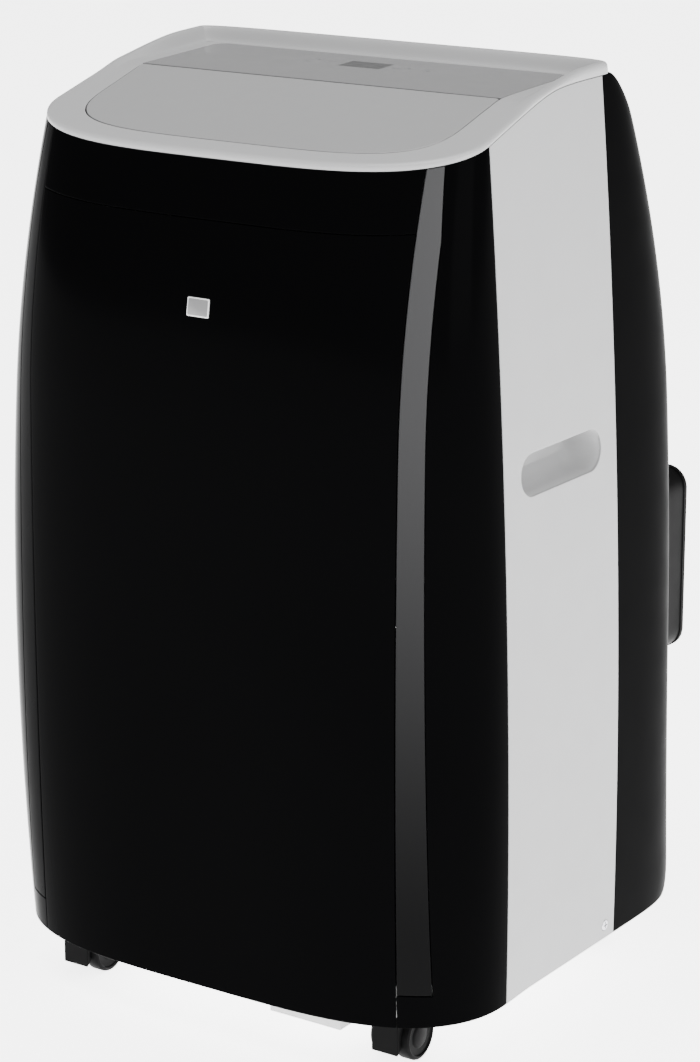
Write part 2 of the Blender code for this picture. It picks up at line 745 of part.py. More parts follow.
def cover_outline():
    """The cover's outer edge in plan, on the casing at the parting, as (x, y) round the loop."""
    made = []
    for j in range(FRONT_STEPS + 1):
        angle = math.pi * j / FRONT_STEPS
        made.append(column(lambda z, a=angle: front_point(a, z), bottom, border_z, 1)[-1][:2])
    top_shift = seam_shift(TOP_FLAT_Z)
    for side in (-1, 1):
        for j in range(1, SIDE_STEPS):
            share = j / SIDE_STEPS if side < 0 else 1 - j / SIDE_STEPS
            y = lerp(SEAM_FRONT_Y, SEAM_REAR_Y, share) + top_shift
            made.append((side * half_width(border_z(y)), y))
        if side < 0:
            for j in range(REAR_STEPS + 1):
                angle = math.pi * (1 - j / REAR_STEPS)
                made.append(rear_point(angle, TOP_FLAT_Z))
    return made


def opening_outline(inset=0.0):
    """The opening for flap and fascia, point for point like the cover's outline."""
    made = []
    half = OPEN_HALF - inset
    front = OPEN_FRONT_Y + inset
    rear = OPEN_REAR_Y - inset
    for j in range(FRONT_STEPS + 1):
        angle = math.pi * j / FRONT_STEPS
        c, s = math.cos(angle), max(0.0, math.sin(angle))
        made.append((math.copysign(half * abs(c) ** (2 / OPEN_X_POWER), c),
                     OPEN_SIDE_Y + (front - OPEN_SIDE_Y) * s ** (2 / OPEN_Y_POWER)))
    corner_y = OPEN_REAR_Y - 0.012
    for side in (-1, 1):
        for j in range(1, SIDE_STEPS):
            share = j / SIDE_STEPS if side < 0 else 1 - j / SIDE_STEPS
            made.append((side * half, lerp(OPEN_SIDE_Y, corner_y, share)))
        if side < 0:
            made += opening_rear(half, corner_y, rear)
    return made


def opening_rear(half, corner_y, rear):
    radius = OPEN_REAR_Y - corner_y
    made = []
    quarter = REAR_STEPS // 2 - 1
    for j in range(quarter + 1):
        angle = math.pi / 2 * j / quarter
        x = -half + radius - radius * math.cos(angle)
        made.append((x, corner_y + (rear - corner_y) * math.sin(angle)))
    made.append((0.0, rear))
    made += [(-x, y) for x, y in reversed(made[:quarter + 1])]
    return made


def inset_loop(loop, distance):
    """Move a plan loop inwards by a distance."""
    made = []
    count = len(loop)
    for i, point in enumerate(loop):
        before, after = loop[i - 1], loop[(i + 1) % count]
        along = Vector((after[0] - before[0], after[1] - before[1])).normalized()
        normal = Vector((along[1], -along[0]))
        if normal.dot(Vector(point)) > 0:
            normal.negate()
        made.append((point[0] + normal[0] * distance, point[1] + normal[1] * distance))
    return made


def build_cover():
    outline = cover_outline()
    opening = opening_outline()
    steps = ((0.0, 0.0), (0.0003, 0.60), (0.0020, 0.92), (0.0060, 1.0))
    rows = []
    for inset, climb in steps:
        loop = inset_loop(outline, inset)
        rows.append([(x, y, lerp(border_z(y) + HALF_GAP, ridge_z(y), climb)) for x, y in loop])
    for inset, down in ((0.0110, 0.75), (0.0155, 1.0)):
        loop = inset_loop(outline, inset)
        rows.append([(x, y, lerp(ridge_z(y), cover_z(y), down)) for x, y in loop])
    rows.append([(x, y, cover_z(y)) for x, y in opening])
    surface("top_cover", rows, WHITE, WALL - 0.0003, (0.0, 0.0, 0.55), closed=True)


def plate(name, outline, height, thickness, material):
    """A flat plate whose upper face lies on a sloping plane."""
    slope = height(1.0) - height(0.0)
    inwards = Vector((0.0, slope, -1.0)).normalized()
    bm = bmesh.new()
    face = bm.faces.new([bm.verts.new((x, y, height(y))) for x, y in outline])
    grown = bmesh.ops.extrude_face_region(bm, geom=[face])
    moved = [v for v in grown["geom"] if isinstance(v, bmesh.types.BMVert)]
    bmesh.ops.translate(bm, vec=inwards * thickness, verts=moved)
    return add_object(name, mesh_from(bm, name), material)


def flap_height(y):
    return FLAP_PLANE_Z + FLAP_SLOPE * y


def fascia_height(y):
    return FASCIA_PLANE_Z + FASCIA_SLOPE * y


HINGE_Y = FLAP_REAR_Y - BARREL_R
HINGE_Z = flap_height(HINGE_Y) - BARREL_R * math.sqrt(1 + FLAP_SLOPE ** 2)
PIN_END = OPEN_HALF + 0.0075


def build_flap():
    loop = opening_outline(SEAM_GAP * 0.8)
    outline = [p for p in loop[:FRONT_STEPS + 1]]
    half = outline[0][0]
    outline += [(-half, HINGE_Y), (half, HINGE_Y)]
    flap = plate("flap", outline, flap_height, FLAP_THICK, WHITE)
    end = half - 0.0005
    barrel = rod("flap_barrel", BARREL_R, -end, end, (HINGE_Y, HINGE_Z), "X", sides=16)
    pin = rod("flap_pin", PIN_R, -PIN_END, PIN_END, (HINGE_Y, HINGE_Z), "X", sides=12)
    join(flap, barrel, pin)


def build_fascia():
    half = OPEN_HALF - SEAM_GAP * 0.8
    front = FLAP_REAR_Y + SEAM_GAP * 0.8
    rear = opening_rear(half, OPEN_REAR_Y - 0.012, OPEN_REAR_Y - SEAM_GAP * 0.8)
    outline = [(half, front), (-half, front)] + rear
    fascia = plate("control_fascia", outline, fascia_height, FASCIA_THICK, FASCIA_GREY)
    width, depth = DISPLAY_SIZE
    tilt = Matrix.Translation((0.0, DISPLAY_Y, fascia_height(DISPLAY_Y)))
    tilt = tilt @ Matrix.Rotation(math.atan(FASCIA_SLOPE), 4, "X")
    hole = box("display_hole", (-width / 2, -depth / 2, -0.01), (width / 2, depth / 2, 0.01))
    lens = box("display_lens", (CLEAR - width / 2, CLEAR - depth / 2, -0.003),
               (width / 2 - CLEAR, depth / 2 - CLEAR, 0.0), DISPLAY_DARK)
    for item in (hole, lens):
        item.matrix_world = tilt @ Matrix.Translation(item.location)
    cut(fascia, hole)


# --- Air outlet ------------------------------------------------------------------------------
def outlet_top(y):
    return flap_height(y) - FLAP_THICK - 0.006


def vane_places():
    pitch = 2 * OUTLET_HALF / VANE_COUNT
    return [-OUTLET_HALF + pitch * (i + 0.5) for i in range(VANE_COUNT)]


def neck_limits(fan):
    """The blower's rectangular delivery neck, along x."""
    outer = fan["wheel"] + FAN_CLEAR + VOLUTE_GROWTH
    return fan["x"], fan["x"] + outer


def build_outlet():
    """Duct from the upper blower's neck to the flap, with the vanes' bearings and the flap's ears."""
    low_z = VANE_AXIS_Z - VANE_DROP - 0.008
    x0, x1 = neck_limits(UPPER_FAN)
    y0, y1 = UPPER_FAN["y"]
    neck_z = low_z - 0.030
    out_a, out_b = OUTLET_Y
    sections = ([(x0, y0, neck_z), (x1, y0, neck_z), (x1, y1, neck_z), (x0, y1, neck_z)],
                [(-OUTLET_HALF, out_a, low_z), (OUTLET_HALF, out_a, low_z),
                 (OUTLET_HALF, out_b, low_z), (-OUTLET_HALF, out_b, low_z)],
                [(-OUTLET_HALF, out_a, outlet_top(out_a)), (OUTLET_HALF, out_a, outlet_top(out_a)),
                 (OUTLET_HALF, out_b, outlet_top(out_b)), (-OUTLET_HALF, out_b, outlet_top(out_b))])
    duct = surface("outlet_duct", sections, DUCT_GREY, DUCT_WALL, (0.0, -0.08, low_z), closed=True)
    ear_x = (OPEN_HALF + 0.0035, OPEN_HALF + 0.0065)
    ear_y = (HINGE_Y - 0.0045, HINGE_Y + 0.0070)
    ear_top = cover_z(ear_y[0]) - WALL - 0.0018
    arm_z = (outlet_top(out_b) - 0.016, outlet_top(out_b) - 0.012)
    for side, sign in (("right", 1), ("left", -1)):
        arm_x = sorted((sign * (OUTLET_HALF - 0.001), sign * ear_x[1]))
        arm = box("ear_arm_" + side, (arm_x[0], out_b - 0.012, arm_z[0]), (arm_x[1], ear_y[1], arm_z[1]))
        span = sorted((sign * ear_x[0], sign * ear_x[1]))
        ear = box("ear_" + side, (span[0], ear_y[0], arm_z[0]), (span[1], ear_y[1], ear_top))
        join(duct, arm, ear)
    cut(duct, rod("ear_bore", PIN_R + CLEAR, -0.2, 0.2, (HINGE_Y, HINGE_Z), "X", sides=12))
    bores = [vane_bore(x) for x in vane_places()]
    for bore in bores:
        cut(duct, bore)
    for i, x in enumerate(vane_places()):
        build_vane("vane_%d" % (i + 1), x)
    build_link()


VANE_PIN_R = 0.0015
VANE_END_GAP = 0.0015


def vane_bore(x):
    return rod("vane_bore_%d" % round(x * 1000), VANE_PIN_R + CLEAR, OUTLET_Y[0] - 0.01, OUTLET_Y[1] + 0.01,
               (x, VANE_AXIS_Z), "Y", sides=10)


def build_vane(name, x):
    """A thin blade on two pins along y, which turns the air to the sides."""
    y0 = OUTLET_Y[0] + DUCT_WALL + VANE_END_GAP
    y1 = OUTLET_Y[1] - DUCT_WALL - VANE_END_GAP
    top = 0.004
    outline = [(y0, VANE_AXIS_Z - VANE_DROP), (y1, VANE_AXIS_Z - VANE_DROP),
               (y1, outlet_top(y1) - top), (y0, outlet_top(y0) - top)]
    vane = prism(name, [(y, z) for y, z in outline], x - VANE_THICK / 2, x + VANE_THICK / 2, "X", DUCT_GREY)
    ends = (OUTLET_Y[0] + CLEAR, OUTLET_Y[1] - CLEAR)
    pin = rod(name + "_pin", VANE_PIN_R, *ends, (x, VANE_AXIS_Z), "Y", sides=10)
    join(vane, pin)


def build_link():
    """Bar under the vanes with a fork round each blade's lower edge, so that all of them turn together."""
    z = VANE_AXIS_Z - VANE_DROP - LINK_GAP
    middle = sum(OUTLET_Y) / 2
    y = (middle - LINK_WIDTH / 2, middle + LINK_WIDTH / 2)
    xs = vane_places()
    end = LINK_WIDTH
    bar = box("vane_link", (xs[0] - end, y[0], z - LINK_THICK), (xs[-1] + end, y[1], z), DUCT_GREY)
    pegs = []
    for x in xs:
        for side in (-1, 1):
            a, b = sorted((x + side * PEG_REACH, x + side * (PEG_REACH + PEG_THICK)))
            pegs.append(((a, y[0], z - LINK_THICK / 2), (b, y[1], z + PEG_HEIGHT)))
    join(bar, boxes("link_pegs", pegs))


# --- Base ------------------------------------------------------------------------------------
def body_outline(z, inset, front_steps=16, rear_steps=14):
    loop = [front_point(math.pi * j / front_steps, z) for j in range(front_steps + 1)]
    loop += [rear_point(math.pi * (1 - j / rear_steps), z) for j in range(rear_steps + 1)]
    return inset_loop(loop, inset)


def caster_places():
    return (("front_right", CASTER_X, CASTER_FRONT_Y), ("front_left", -CASTER_X, CASTER_FRONT_Y),
            ("rear_right", CASTER_X, CASTER_REAR_Y), ("rear_left", -CASTER_X, CASTER_REAR_Y))


BOSS_R = 0.010
STEM_TOP = PAN_Z + 0.020


def build_base():
    """Drip pan that carries the machine, with caster bosses and a sump with the float's post."""
    inset = WALL + FIT
    low = body_outline(PAN_Z, inset + 0.004)
    high = body_outline(PAN_Z + PAN_WALL_H, inset)
    rows = [[(x, y, PAN_Z) for x, y in low],
            [(x, y, PAN_Z + PAN_WALL_H) for x, y in high]]
    pan = tray("base_pan", rows, BASE_GREY, 0.003)
    floor = PAN_Z + 0.001
    sump = box("sump", (SUMP_X[0], SUMP_Y[0], SUMP_BOTTOM), (SUMP_X[1], SUMP_Y[1], floor + 0.001))
    join(pan, sump)
    wall = 0.0025
    cut(pan, box("sump_inside", (SUMP_X[0] + wall, SUMP_Y[0] + wall, SUMP_BOTTOM + wall),
                 (SUMP_X[1] - wall, SUMP_Y[1] - wall, floor + 0.02)))
    cut(pan, rod("pan_drain", DRAIN_R + WALL + CLEAR, 0.10, 0.25, DRAIN_PLACE, "Y", sides=16))
    post = float_place()
    join(pan, rod("float_post", FLOAT_POST_R, SUMP_BOTTOM + 0.001, PAN_Z + 0.026, post, "Z", sides=12))
    for name, x, y in caster_places():
        join(pan, rod("boss_" + name, BOSS_R, floor, STEM_TOP + 0.004, (x, y), "Z", sides=16))
    for name, x, y in caster_places():
        bore = rod("boss_bore_" + name, STEM_R + CLEAR, PAN_Z - 0.01, STEM_TOP + CLEAR, (x, y), "Z", sides=16)
        cut(pan, bore)
        build_caster(name, x, y)
    build_float(post)


FLOAT_POST_R = 0.0025
FLOAT_R = 0.010
FLOAT_H = 0.012
FLOAT_TRAVEL = 0.012


def float_place():
    return (SUMP_X[0] + SUMP_X[1]) / 2, (SUMP_Y[0] + SUMP_Y[1]) / 2


def build_float(post):
    low = SUMP_BOTTOM + 0.0025 + CLEAR
    ring = rod("float", FLOAT_R, low, low + FLOAT_H, post, "Z", WHITE, sides=16)
    cut(ring, rod("float_bore", FLOAT_POST_R + CLEAR, low - 0.01, low + 0.05, post, "Z", sides=12))


def tray(name, rows, material, thickness):
    """An open tray: a floor, and walls up to its rim, thickened inwards."""
    bm = bmesh.new()
    made = [[bm.verts.new(p) for p in row] for row in rows]
    count = len(made[0])
    bm.faces.new(made[0])
    for a, b in zip(made, made[1:]):
        for j in range(count):
            k = (j + 1) % count
            bm.faces.new((a[j], a[k], b[k], b[j]))
    bmesh.ops.recalc_face_normals(bm, faces=bm.faces)
    bm.normal_update()
    floor = min(bm.faces, key=lambda f: f.calc_center_median().z)
    if floor.normal.z > 0:
        bmesh.ops.reverse_faces(bm, faces=bm.faces)
    mesh = bpy.data.meshes.new(name)
    bm.to_mesh(mesh)
    bm.free()
    return thicken(add_object(name, mesh, material), thickness)


def build_caster(name, x, y):
    """Swivelling fork with a front hood, and twin wheels on one axle behind the swivel's axis."""
    axle_y = y + TRAIL
    half = 0.0125
    web = WHEEL_GAP / 2 - 0.0008
    hood_y = axle_y - WHEEL_R - 0.0055
    top_z = 2 * WHEEL_R + 0.0008
    fork = box("caster_fork_" + name, (x - half, hood_y, top_z), (x + half, axle_y + 0.012, PAN_Z - 0.0030),
               CASTER_BLACK)
    hood = box("hood_" + name, (x - half, hood_y, 0.010), (x + half, hood_y + 0.0045, top_z + 0.001))
    plate_web = box("web_" + name, (x - web, hood_y + 0.002, 0.012), (x + web, axle_y + 0.008, top_z + 0.001))
    stem = rod("stem_" + name, STEM_R, top_z + 0.001, STEM_TOP, (x, y), "Z", sides=16)
    join(fork, hood, plate_web, stem)
    cut(fork, rod("axle_bore_" + name, AXLE_R + CLEAR, x - 0.02, x + 0.02, (axle_y, WHEEL_R), "X", sides=12))
    build_wheels(name, x, axle_y)


def build_wheels(name, x, axle_y):
    inner = WHEEL_GAP / 2
    outer = inner + WHEEL_W
    dish = 0.002
    edge = 0.0015
    profile = [(0.0, outer - dish), (WHEEL_R * 0.55, outer - dish), (WHEEL_R * 0.62, outer),
               (WHEEL_R - edge, outer), (WHEEL_R, outer - edge), (WHEEL_R, inner), (AXLE_R, inner)]
    profile += [(r, -h) for r, h in reversed(profile)]
    lathe("caster_wheels_" + name, profile, (x, axle_y, WHEEL_R), "X", CASTER_BLACK)


# --- Machinery -------------------------------------------------------------------------------
def build_deck():
    outline = body_outline(DECK_Z, WALL + FIT)
    deck = prism("mid_deck", outline, DECK_Z, DECK_Z + DECK_THICK, "Z", DUCT_GREY)
    for name, place in (("suction", PIPE_A), ("discharge", PIPE_B)):
        cut(deck, rod("deck_hole_" + name, 0.010, DECK_Z - 0.01, DECK_Z + 0.01, place, "Z", sides=12))


PIPE_A = (-0.172, 0.030)
PIPE_B = (-0.172, 0.062)
PIPE_R = 0.004


def build_compressor():
    r = COMPRESSOR_R
    low, high = COMPRESSOR_Z
    x, y = COMPRESSOR_PLACE
    profile = ((0.0, high), (r * 0.55, high - 0.006), (r * 0.88, high - 0.018), (r, high - 0.040),
               (r, low + 0.030), (r * 0.88, low + 0.012), (r * 0.60, low + 0.004), (0.0, low + 0.004))
    shell = lathe("compressor", profile, (x, y, 0.0), "Z", STEEL_BLACK)
    outline = rounded_rectangle((x, y), (r + 0.006, r + 0.006), 0.020)
    foot = prism("compressor_foot", outline, low, low + 0.006)
    join(shell, foot)
    side_y = y + r + ACCUMULATOR_R + 0.004
    a = ACCUMULATOR_R
    profile = ((0.0, 0.250), (a * 0.6, 0.246), (a, 0.230), (a, 0.130), (a * 0.6, 0.114), (0.0, 0.110))
    lathe("accumulator", profile, (x, side_y, 0.0), "Z", STEEL_BLACK, 16)


def coil_block(name, half, low, high, y):
    """Finned coil: aluminium fins between two end plates."""
    block = box(name, (-half, y, low), (half, y + COIL_DEPTH, high), FIN_ALUMINIUM)
    plates = []
    for x in (-half, half):
        near = (x - 0.001, y - 0.004, low - 0.004)
        far = (x + 0.001, y + COIL_DEPTH + 0.002, high + 0.004)
        plates.append((near, far))
    join(block, boxes(name + "_plates", plates))
    return block


def build_coils():
    half, low, high = LOWER_INTAKE
    y = rear_surface_y(half, high) - WALL - FILTER_SETBACK - FIT - COIL_DEPTH - 0.004
    coil_block("condenser_coil", half - 0.008, low + 0.010, high, y)
    half, low, high = UPPER_INTAKE
    y = rear_surface_y(half, high) - WALL - FILTER_SETBACK - FIT - COIL_DEPTH - 0.004
    coil_block("evaporator_coil", half, low - 0.020, high - 0.012, y)


def volute(fan, steps=24):
    """Spiral outline of a blower housing with its neck upwards at the spiral's wide end."""
    start = fan["wheel"] + FAN_CLEAR
    made = []
    for i in range(steps + 1):
        share = i / steps
        angle = math.pi + math.pi * share
        radius = start + VOLUTE_GROWTH * share
        made.append((fan["x"] + radius * math.cos(angle), fan["z"] + radius * math.sin(angle)))
    return made


def build_blower(name, fan, neck_z, motor_r, motor_len):
    """Scroll housing with the inlet towards the coil, wheel, and motor on the front side."""
    start = fan["wheel"] + FAN_CLEAR
    wide = start + VOLUTE_GROWTH
    spiral = volute(fan)
    top = [(fan["x"] + wide, neck_z), (fan["x"], neck_z), (fan["x"], fan["z"] + start * 0.94)]
    arc = []
    for i in range(1, 8):
        angle = math.pi / 2 + math.pi / 2 * i / 8
        arc.append((fan["x"] + start * math.cos(angle), fan["z"] + start * math.sin(angle)))
    outline = spiral + top + arc
    y0, y1 = fan["y"]
    housing = prism(name + "_scroll", outline, y0, y1, "Y", DUCT_GREY)
    inner = inset_outline(outline, DUCT_WALL)
    hollow = prism(name + "_scroll_inside", inner, y0 + DUCT_WALL, y1 - DUCT_WALL, "Y")
    cut(housing, hollow)
    x, z = fan["x"], fan["z"]
    cut(housing, box(name + "_neck_mouth", (x + DUCT_WALL, y0 + DUCT_WALL, neck_z - 0.01),
                     (x + wide - DUCT_WALL, y1 - DUCT_WALL, neck_z + 0.01)))
    cut(housing, rod(name + "_inlet", fan["wheel"] * 0.82, y1 - 0.01, y1 + 0.01, (x, z), "Y"))
    cut(housing, rod(name + "_shaft_hole", 0.012, y0 - 0.01, y0 + 0.01, (x, z), "Y", sides=16))
    build_impeller(name + "_wheel", fan)
    motor = rod(name + "_motor", motor_r, y0 - motor_len - CLEAR, y0 - CLEAR, (x, z), "Y", STEEL)
    join(motor, rod(name + "_shaft", SHAFT_R, y0 - 0.002, y0 + 0.022, (x, z), "Y", sides=12))


SHAFT_R = 0.004


def inset_outline(outline, distance):
    """Offset a closed outline inwards; the outline may be hollow on one side."""
    area = sum(a[0] * b[1] - b[0] * a[1] for a, b in zip(outline, outline[1:] + outline[:1]))
    turn = 1.0 if area > 0 else -1.0
    made = []
    count = len(outline)
    for i, point in enumerate(outline):
        before, after = Vector(outline[i - 1]), Vector(outline[(i + 1) % count])
        here = Vector(point)
        first = (here - before).normalized()
        second = (after - here).normalized()
        normal = Vector((-(first.y + second.y), first.x + second.x)).normalized() * turn
        miter = max(0.5, normal.dot(Vector((-first.y, first.x)) * turn))
        made.append(tuple(here + normal * (distance / miter)))
    return made


def build_impeller(name, fan, blades=11):
    """Forward-curved blower wheel: back plate and hub, blades, and the inlet ring."""
    x, z = fan["x"], fan["z"]
    y0, y1 = fan["y"]
    back = y0 + DUCT_WALL + 0.004
    front = y1 - DUCT_WALL - 0.004
    r = fan["wheel"]
    wheel = rod(name, r, back, back + 0.002, (x, z), "Y", DUCT_GREY)
    hub = rod(name + "_hub", 0.012, back, back + 0.016, (x, z), "Y", sides=16)
    ring = rod(name + "_ring", r, front - 0.003, front, (x, z), "Y")
    bm = bmesh.new()
    for i in range(blades):
        turn = Matrix.Translation((x, 0.0, z)) @ Matrix.Rotation(TAU * i / blades, 4, "Y")
        tilt = Matrix.Translation((r - 0.006, 0.0, 0.0)) @ Matrix.Rotation(math.radians(35), 4, "Y")
        size = Matrix.Diagonal((0.0085, front - back - 0.003, 0.0014, 1.0))
        middle = Matrix.Translation((0.0, (front + back) / 2, 0.0))
        bmesh.ops.create_cube(bm, size=1.0, matrix=turn @ middle @ tilt @ size)
    vanes = add_object(name + "_blades", mesh_from(bm, name + "_blades"), None)
    cut(ring, rod(name + "_ring_eye", r - 0.012, front - 0.01, front + 0.01, (x, z), "Y"))
    join(wheel, hub, vanes, ring)
    cut(wheel, rod(name + "_bore", SHAFT_R + CLEAR, back - 0.01, back + 0.03, (x, z), "Y", sides=12))


def build_exhaust_duct():
    """Elbow from the lower blower's neck to the bore of the exhaust socket."""
    x0 = SOCKET_CENTRE[0] - SOCKET_BORE_R - 0.006
    x1 = SOCKET_CENTRE[0] + SOCKET_BORE_R + 0.006
    y0 = LOWER_FAN["y"][0]
    y1 = rear_surface_y(x1, SOCKET_CENTRE[1]) - WALL - 0.0015
    z0 = LOWER_NECK_Z + CLEAR
    z1 = SOCKET_CENTRE[1] + SOCKET_BORE_R + 0.006
    duct = box("exhaust_duct", (x0, y0, z0), (x1, y1, z1), DUCT_GREY)
    cut(duct, box("exhaust_duct_inside", (x0 + DUCT_WALL, y0 + DUCT_WALL, z0 + DUCT_WALL),
                  (x1 - DUCT_WALL, y1 - DUCT_WALL, z1 - DUCT_WALL)))
    neck = neck_limits(LOWER_FAN)
    cut(duct, box("exhaust_duct_mouth", (neck[0] + DUCT_WALL, y0 + DUCT_WALL, z0 - 0.01),
                  (neck[1] - DUCT_WALL, LOWER_FAN["y"][1] - DUCT_WALL, z0 + 0.01)))
    cut(duct, rod("exhaust_duct_bore", SOCKET_BORE_R, y1 - 0.01, y1 + 0.01, SOCKET_CENTRE, "Y", sides=32))


LOWER_NECK_Z = SOCKET_CENTRE[1] - SOCKET_BORE_R - 0.006
UPPER_NECK_Z = VANE_AXIS_Z - VANE_DROP - 0.008 - 0.030 - 0.003


def build_pipe(name, points):
    curve = bpy.data.curves.new(name, "CURVE")
    curve.dimensions = "3D"
    curve.bevel_depth = PIPE_R
    curve.bevel_resolution = 2
    curve.use_fill_caps = True
    spline = curve.splines.new("POLY")
    spline.points.add(len(points) - 1)
    for slot, point in zip(spline.points, points):
        slot.co = (*point, 1.0)
    item = bpy.data.objects.new(name, curve)
    PARTS.objects.link(item)
    curve.materials.append(COPPER)
    return item


def bend(points, radius=0.012, steps=4):
    """A route with each inner corner rounded."""
    made = [Vector(points[0])]
    for before, here, after in zip(points, points[1:], points[2:]):
        a = Vector(here) + (Vector(before) - Vector(here)).normalized() * radius
        b = Vector(here) + (Vector(after) - Vector(here)).normalized() * radius
        for i in range(steps + 1):
            t = i / steps
            made.append(a * (1 - t) ** 2 + Vector(here) * 2 * t * (1 - t) + b * t * t)
    made.append(Vector(points[-1]))
    return made


def build_pipes():
    x, y = COMPRESSOR_PLACE
    top = COMPRESSOR_Z[1]
    coil_half = UPPER_INTAKE[0]
    coil_y = rear_surface_y(UPPER_INTAKE[0], UPPER_INTAKE[2]) - WALL - FILTER_SETBACK - FIT - COIL_DEPTH / 2
    side_y = y + COMPRESSOR_R + ACCUMULATOR_R + 0.004
    suction = [(-coil_half - 0.002, coil_y - 0.008, 0.480), (PIPE_A[0], coil_y - 0.008, 0.480),
               (PIPE_A[0], PIPE_A[1], 0.440), (PIPE_A[0], PIPE_A[1], 0.330), (x, side_y, 0.330),
               (x, side_y, 0.250 + CLEAR)]
    build_pipe("suction_pipe", bend(suction))
    discharge = [(x, y, top + CLEAR), (x, y, 0.370), (*PIPE_B, 0.370), (*PIPE_B, 0.150),
                 (PIPE_B[0], LOWER_COIL_Y, 0.150), (-LOWER_INTAKE[0] + 0.0065, LOWER_COIL_Y, 0.150)]
    build_pipe("discharge_pipe", bend(discharge))


LOWER_COIL_Y = (rear_surface_y(LOWER_INTAKE[0], LOWER_INTAKE[2]) - WALL - FILTER_SETBACK - FIT
                - COIL_DEPTH / 2 - 0.004)


def build_control_box():
    low = (-0.180, -0.120, DECK_Z + DECK_THICK + 0.020)
    high = (-0.128, -0.055, DECK_Z + DECK_THICK + 0.160)
    case = box("control_box", low, high, DUCT_GREY)
    round_edges(case, 0.004)


def build_flap_motor():
    x = PIN_END + 0.0015
    top = cover_z(HINGE_Y - 0.013) - WALL - 0.0015
    box("flap_motor", (x, HINGE_Y - 0.013, HINGE_Z - 0.016),
        (half_width(HINGE_Z) - WALL - 0.0012, HINGE_Y + 0.013, top), DUCT_GREY)


build_front()
build_side("right", 1)
build_side("left", -1)
build_rear()
build_cover()
build_flap()
build_fascia()
build_outlet()
build_base()
build_deck()
build_compressor()
build_coils()
build_blower("condenser", LOWER_FAN, LOWER_NECK_Z, 0.034, 0.045)
build_blower("evaporator", UPPER_FAN, UPPER_NECK_Z, 0.036, 0.050)
build_exhaust_duct()
build_pipes()
build_control_box()
build_flap_motor()
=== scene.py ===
"""Portable air conditioner: the looks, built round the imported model.

Metres, +Z up; the front faces -Y. The casing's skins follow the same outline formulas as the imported
solids, at a finer step, with rounded edges; each one stands for the solid of the same name.
"""

import json
import math

import bmesh
import bpy
from mathutils import Matrix, Vector


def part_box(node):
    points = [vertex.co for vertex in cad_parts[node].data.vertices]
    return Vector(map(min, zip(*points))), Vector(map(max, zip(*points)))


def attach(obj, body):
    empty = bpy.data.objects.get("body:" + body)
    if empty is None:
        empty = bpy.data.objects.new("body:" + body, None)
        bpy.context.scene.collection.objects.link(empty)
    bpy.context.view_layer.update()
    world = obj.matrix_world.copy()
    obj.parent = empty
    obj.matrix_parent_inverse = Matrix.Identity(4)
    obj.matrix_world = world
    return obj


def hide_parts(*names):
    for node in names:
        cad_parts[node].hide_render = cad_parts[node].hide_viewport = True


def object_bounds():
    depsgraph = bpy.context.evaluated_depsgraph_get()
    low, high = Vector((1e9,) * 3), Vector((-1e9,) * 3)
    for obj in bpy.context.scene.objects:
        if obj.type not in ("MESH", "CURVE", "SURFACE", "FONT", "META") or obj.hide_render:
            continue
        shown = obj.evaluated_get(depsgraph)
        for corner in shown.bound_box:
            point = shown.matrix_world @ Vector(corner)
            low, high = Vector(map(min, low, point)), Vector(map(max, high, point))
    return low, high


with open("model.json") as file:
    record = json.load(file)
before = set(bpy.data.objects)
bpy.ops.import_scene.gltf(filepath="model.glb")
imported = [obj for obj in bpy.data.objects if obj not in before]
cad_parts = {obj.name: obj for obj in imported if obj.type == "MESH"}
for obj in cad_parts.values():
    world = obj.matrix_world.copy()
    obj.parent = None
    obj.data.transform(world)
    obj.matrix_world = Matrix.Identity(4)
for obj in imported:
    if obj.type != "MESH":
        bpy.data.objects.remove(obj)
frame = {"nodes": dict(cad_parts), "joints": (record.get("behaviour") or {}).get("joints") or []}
CAD_LOW, CAD_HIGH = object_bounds()

# --- Casing shape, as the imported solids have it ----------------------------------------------
HALF_WIDTH = CAD_HIGH.x
FRONT_REACH = -CAD_LOW.y
REAR_REACH = 0.1756
WIDEST_Z, WIDTH_FALL = 0.260, 0.140
SHELL_BOTTOM, BOTTOM_RISE, BOTTOM_LEVEL = 0.0405, 0.050, 0.0470
LEAN_START, FRONT_LEAN = 0.500, 0.800
REAR_LEAN_START, REAR_LEAN = 0.481, 0.897
FLARE_TOP, REAR_FLARE = 0.300, 0.0243
REAR_TUCK, TUCK_HEIGHT = 0.010, 0.030
SEAM_FRONT_Y, SEAM_REAR_Y = -0.1344, 0.0351
SEAM_BOW, SEAM_MID_Z = 0.0194, 0.400
FRONT_X_POWER, FRONT_Y_POWER = 3.70, 2.18
REAR_X_POWER, REAR_Y_POWER = 5.37, 4.87
TOP_FLAT_Z = 0.7565
BORDER_Z, BORDER_SLOPE, BORDER_BLEND = 0.7639, 0.3214, 0.004
FLAP_PLANE_Z, FLAP_SLOPE = 0.7648, 0.298
FASCIA_PLANE_Z, FASCIA_SLOPE = 0.7513, 0.047
DECK_BLEND = 0.0006
COVER_REAR_Y, SHOULDER_DROP, SHOULDER_POWER = 0.0720, 0.0410, 2.2
RIM_HEIGHT, RIM_START_Y, RIM_FULL_Y = 0.0115, -0.080, 0.030
OPEN_HALF, OPEN_SIDE_Y, OPEN_FRONT_Y, OPEN_REAR_Y = 0.1702, -0.102, -0.1665, 0.0520
OPEN_X_POWER, OPEN_Y_POWER = 4.2, 3.0
FLAP_REAR_Y = -0.0536
CREASE_Z, CREASE_SLOPE = 0.6601, 0.2265
STRIP_INNER_X, STRIP_FOOT_Z = 0.1745, 0.069
STRIP_WIDTH_FOOT, STRIP_WIDTH_CREASE, STRIP_WIDTH_TOP = 0.0245, 0.0165, 0.0080
SLOT_Y, SLOT_Z = (-0.1090, 0.0115), (0.4550, 0.4885)
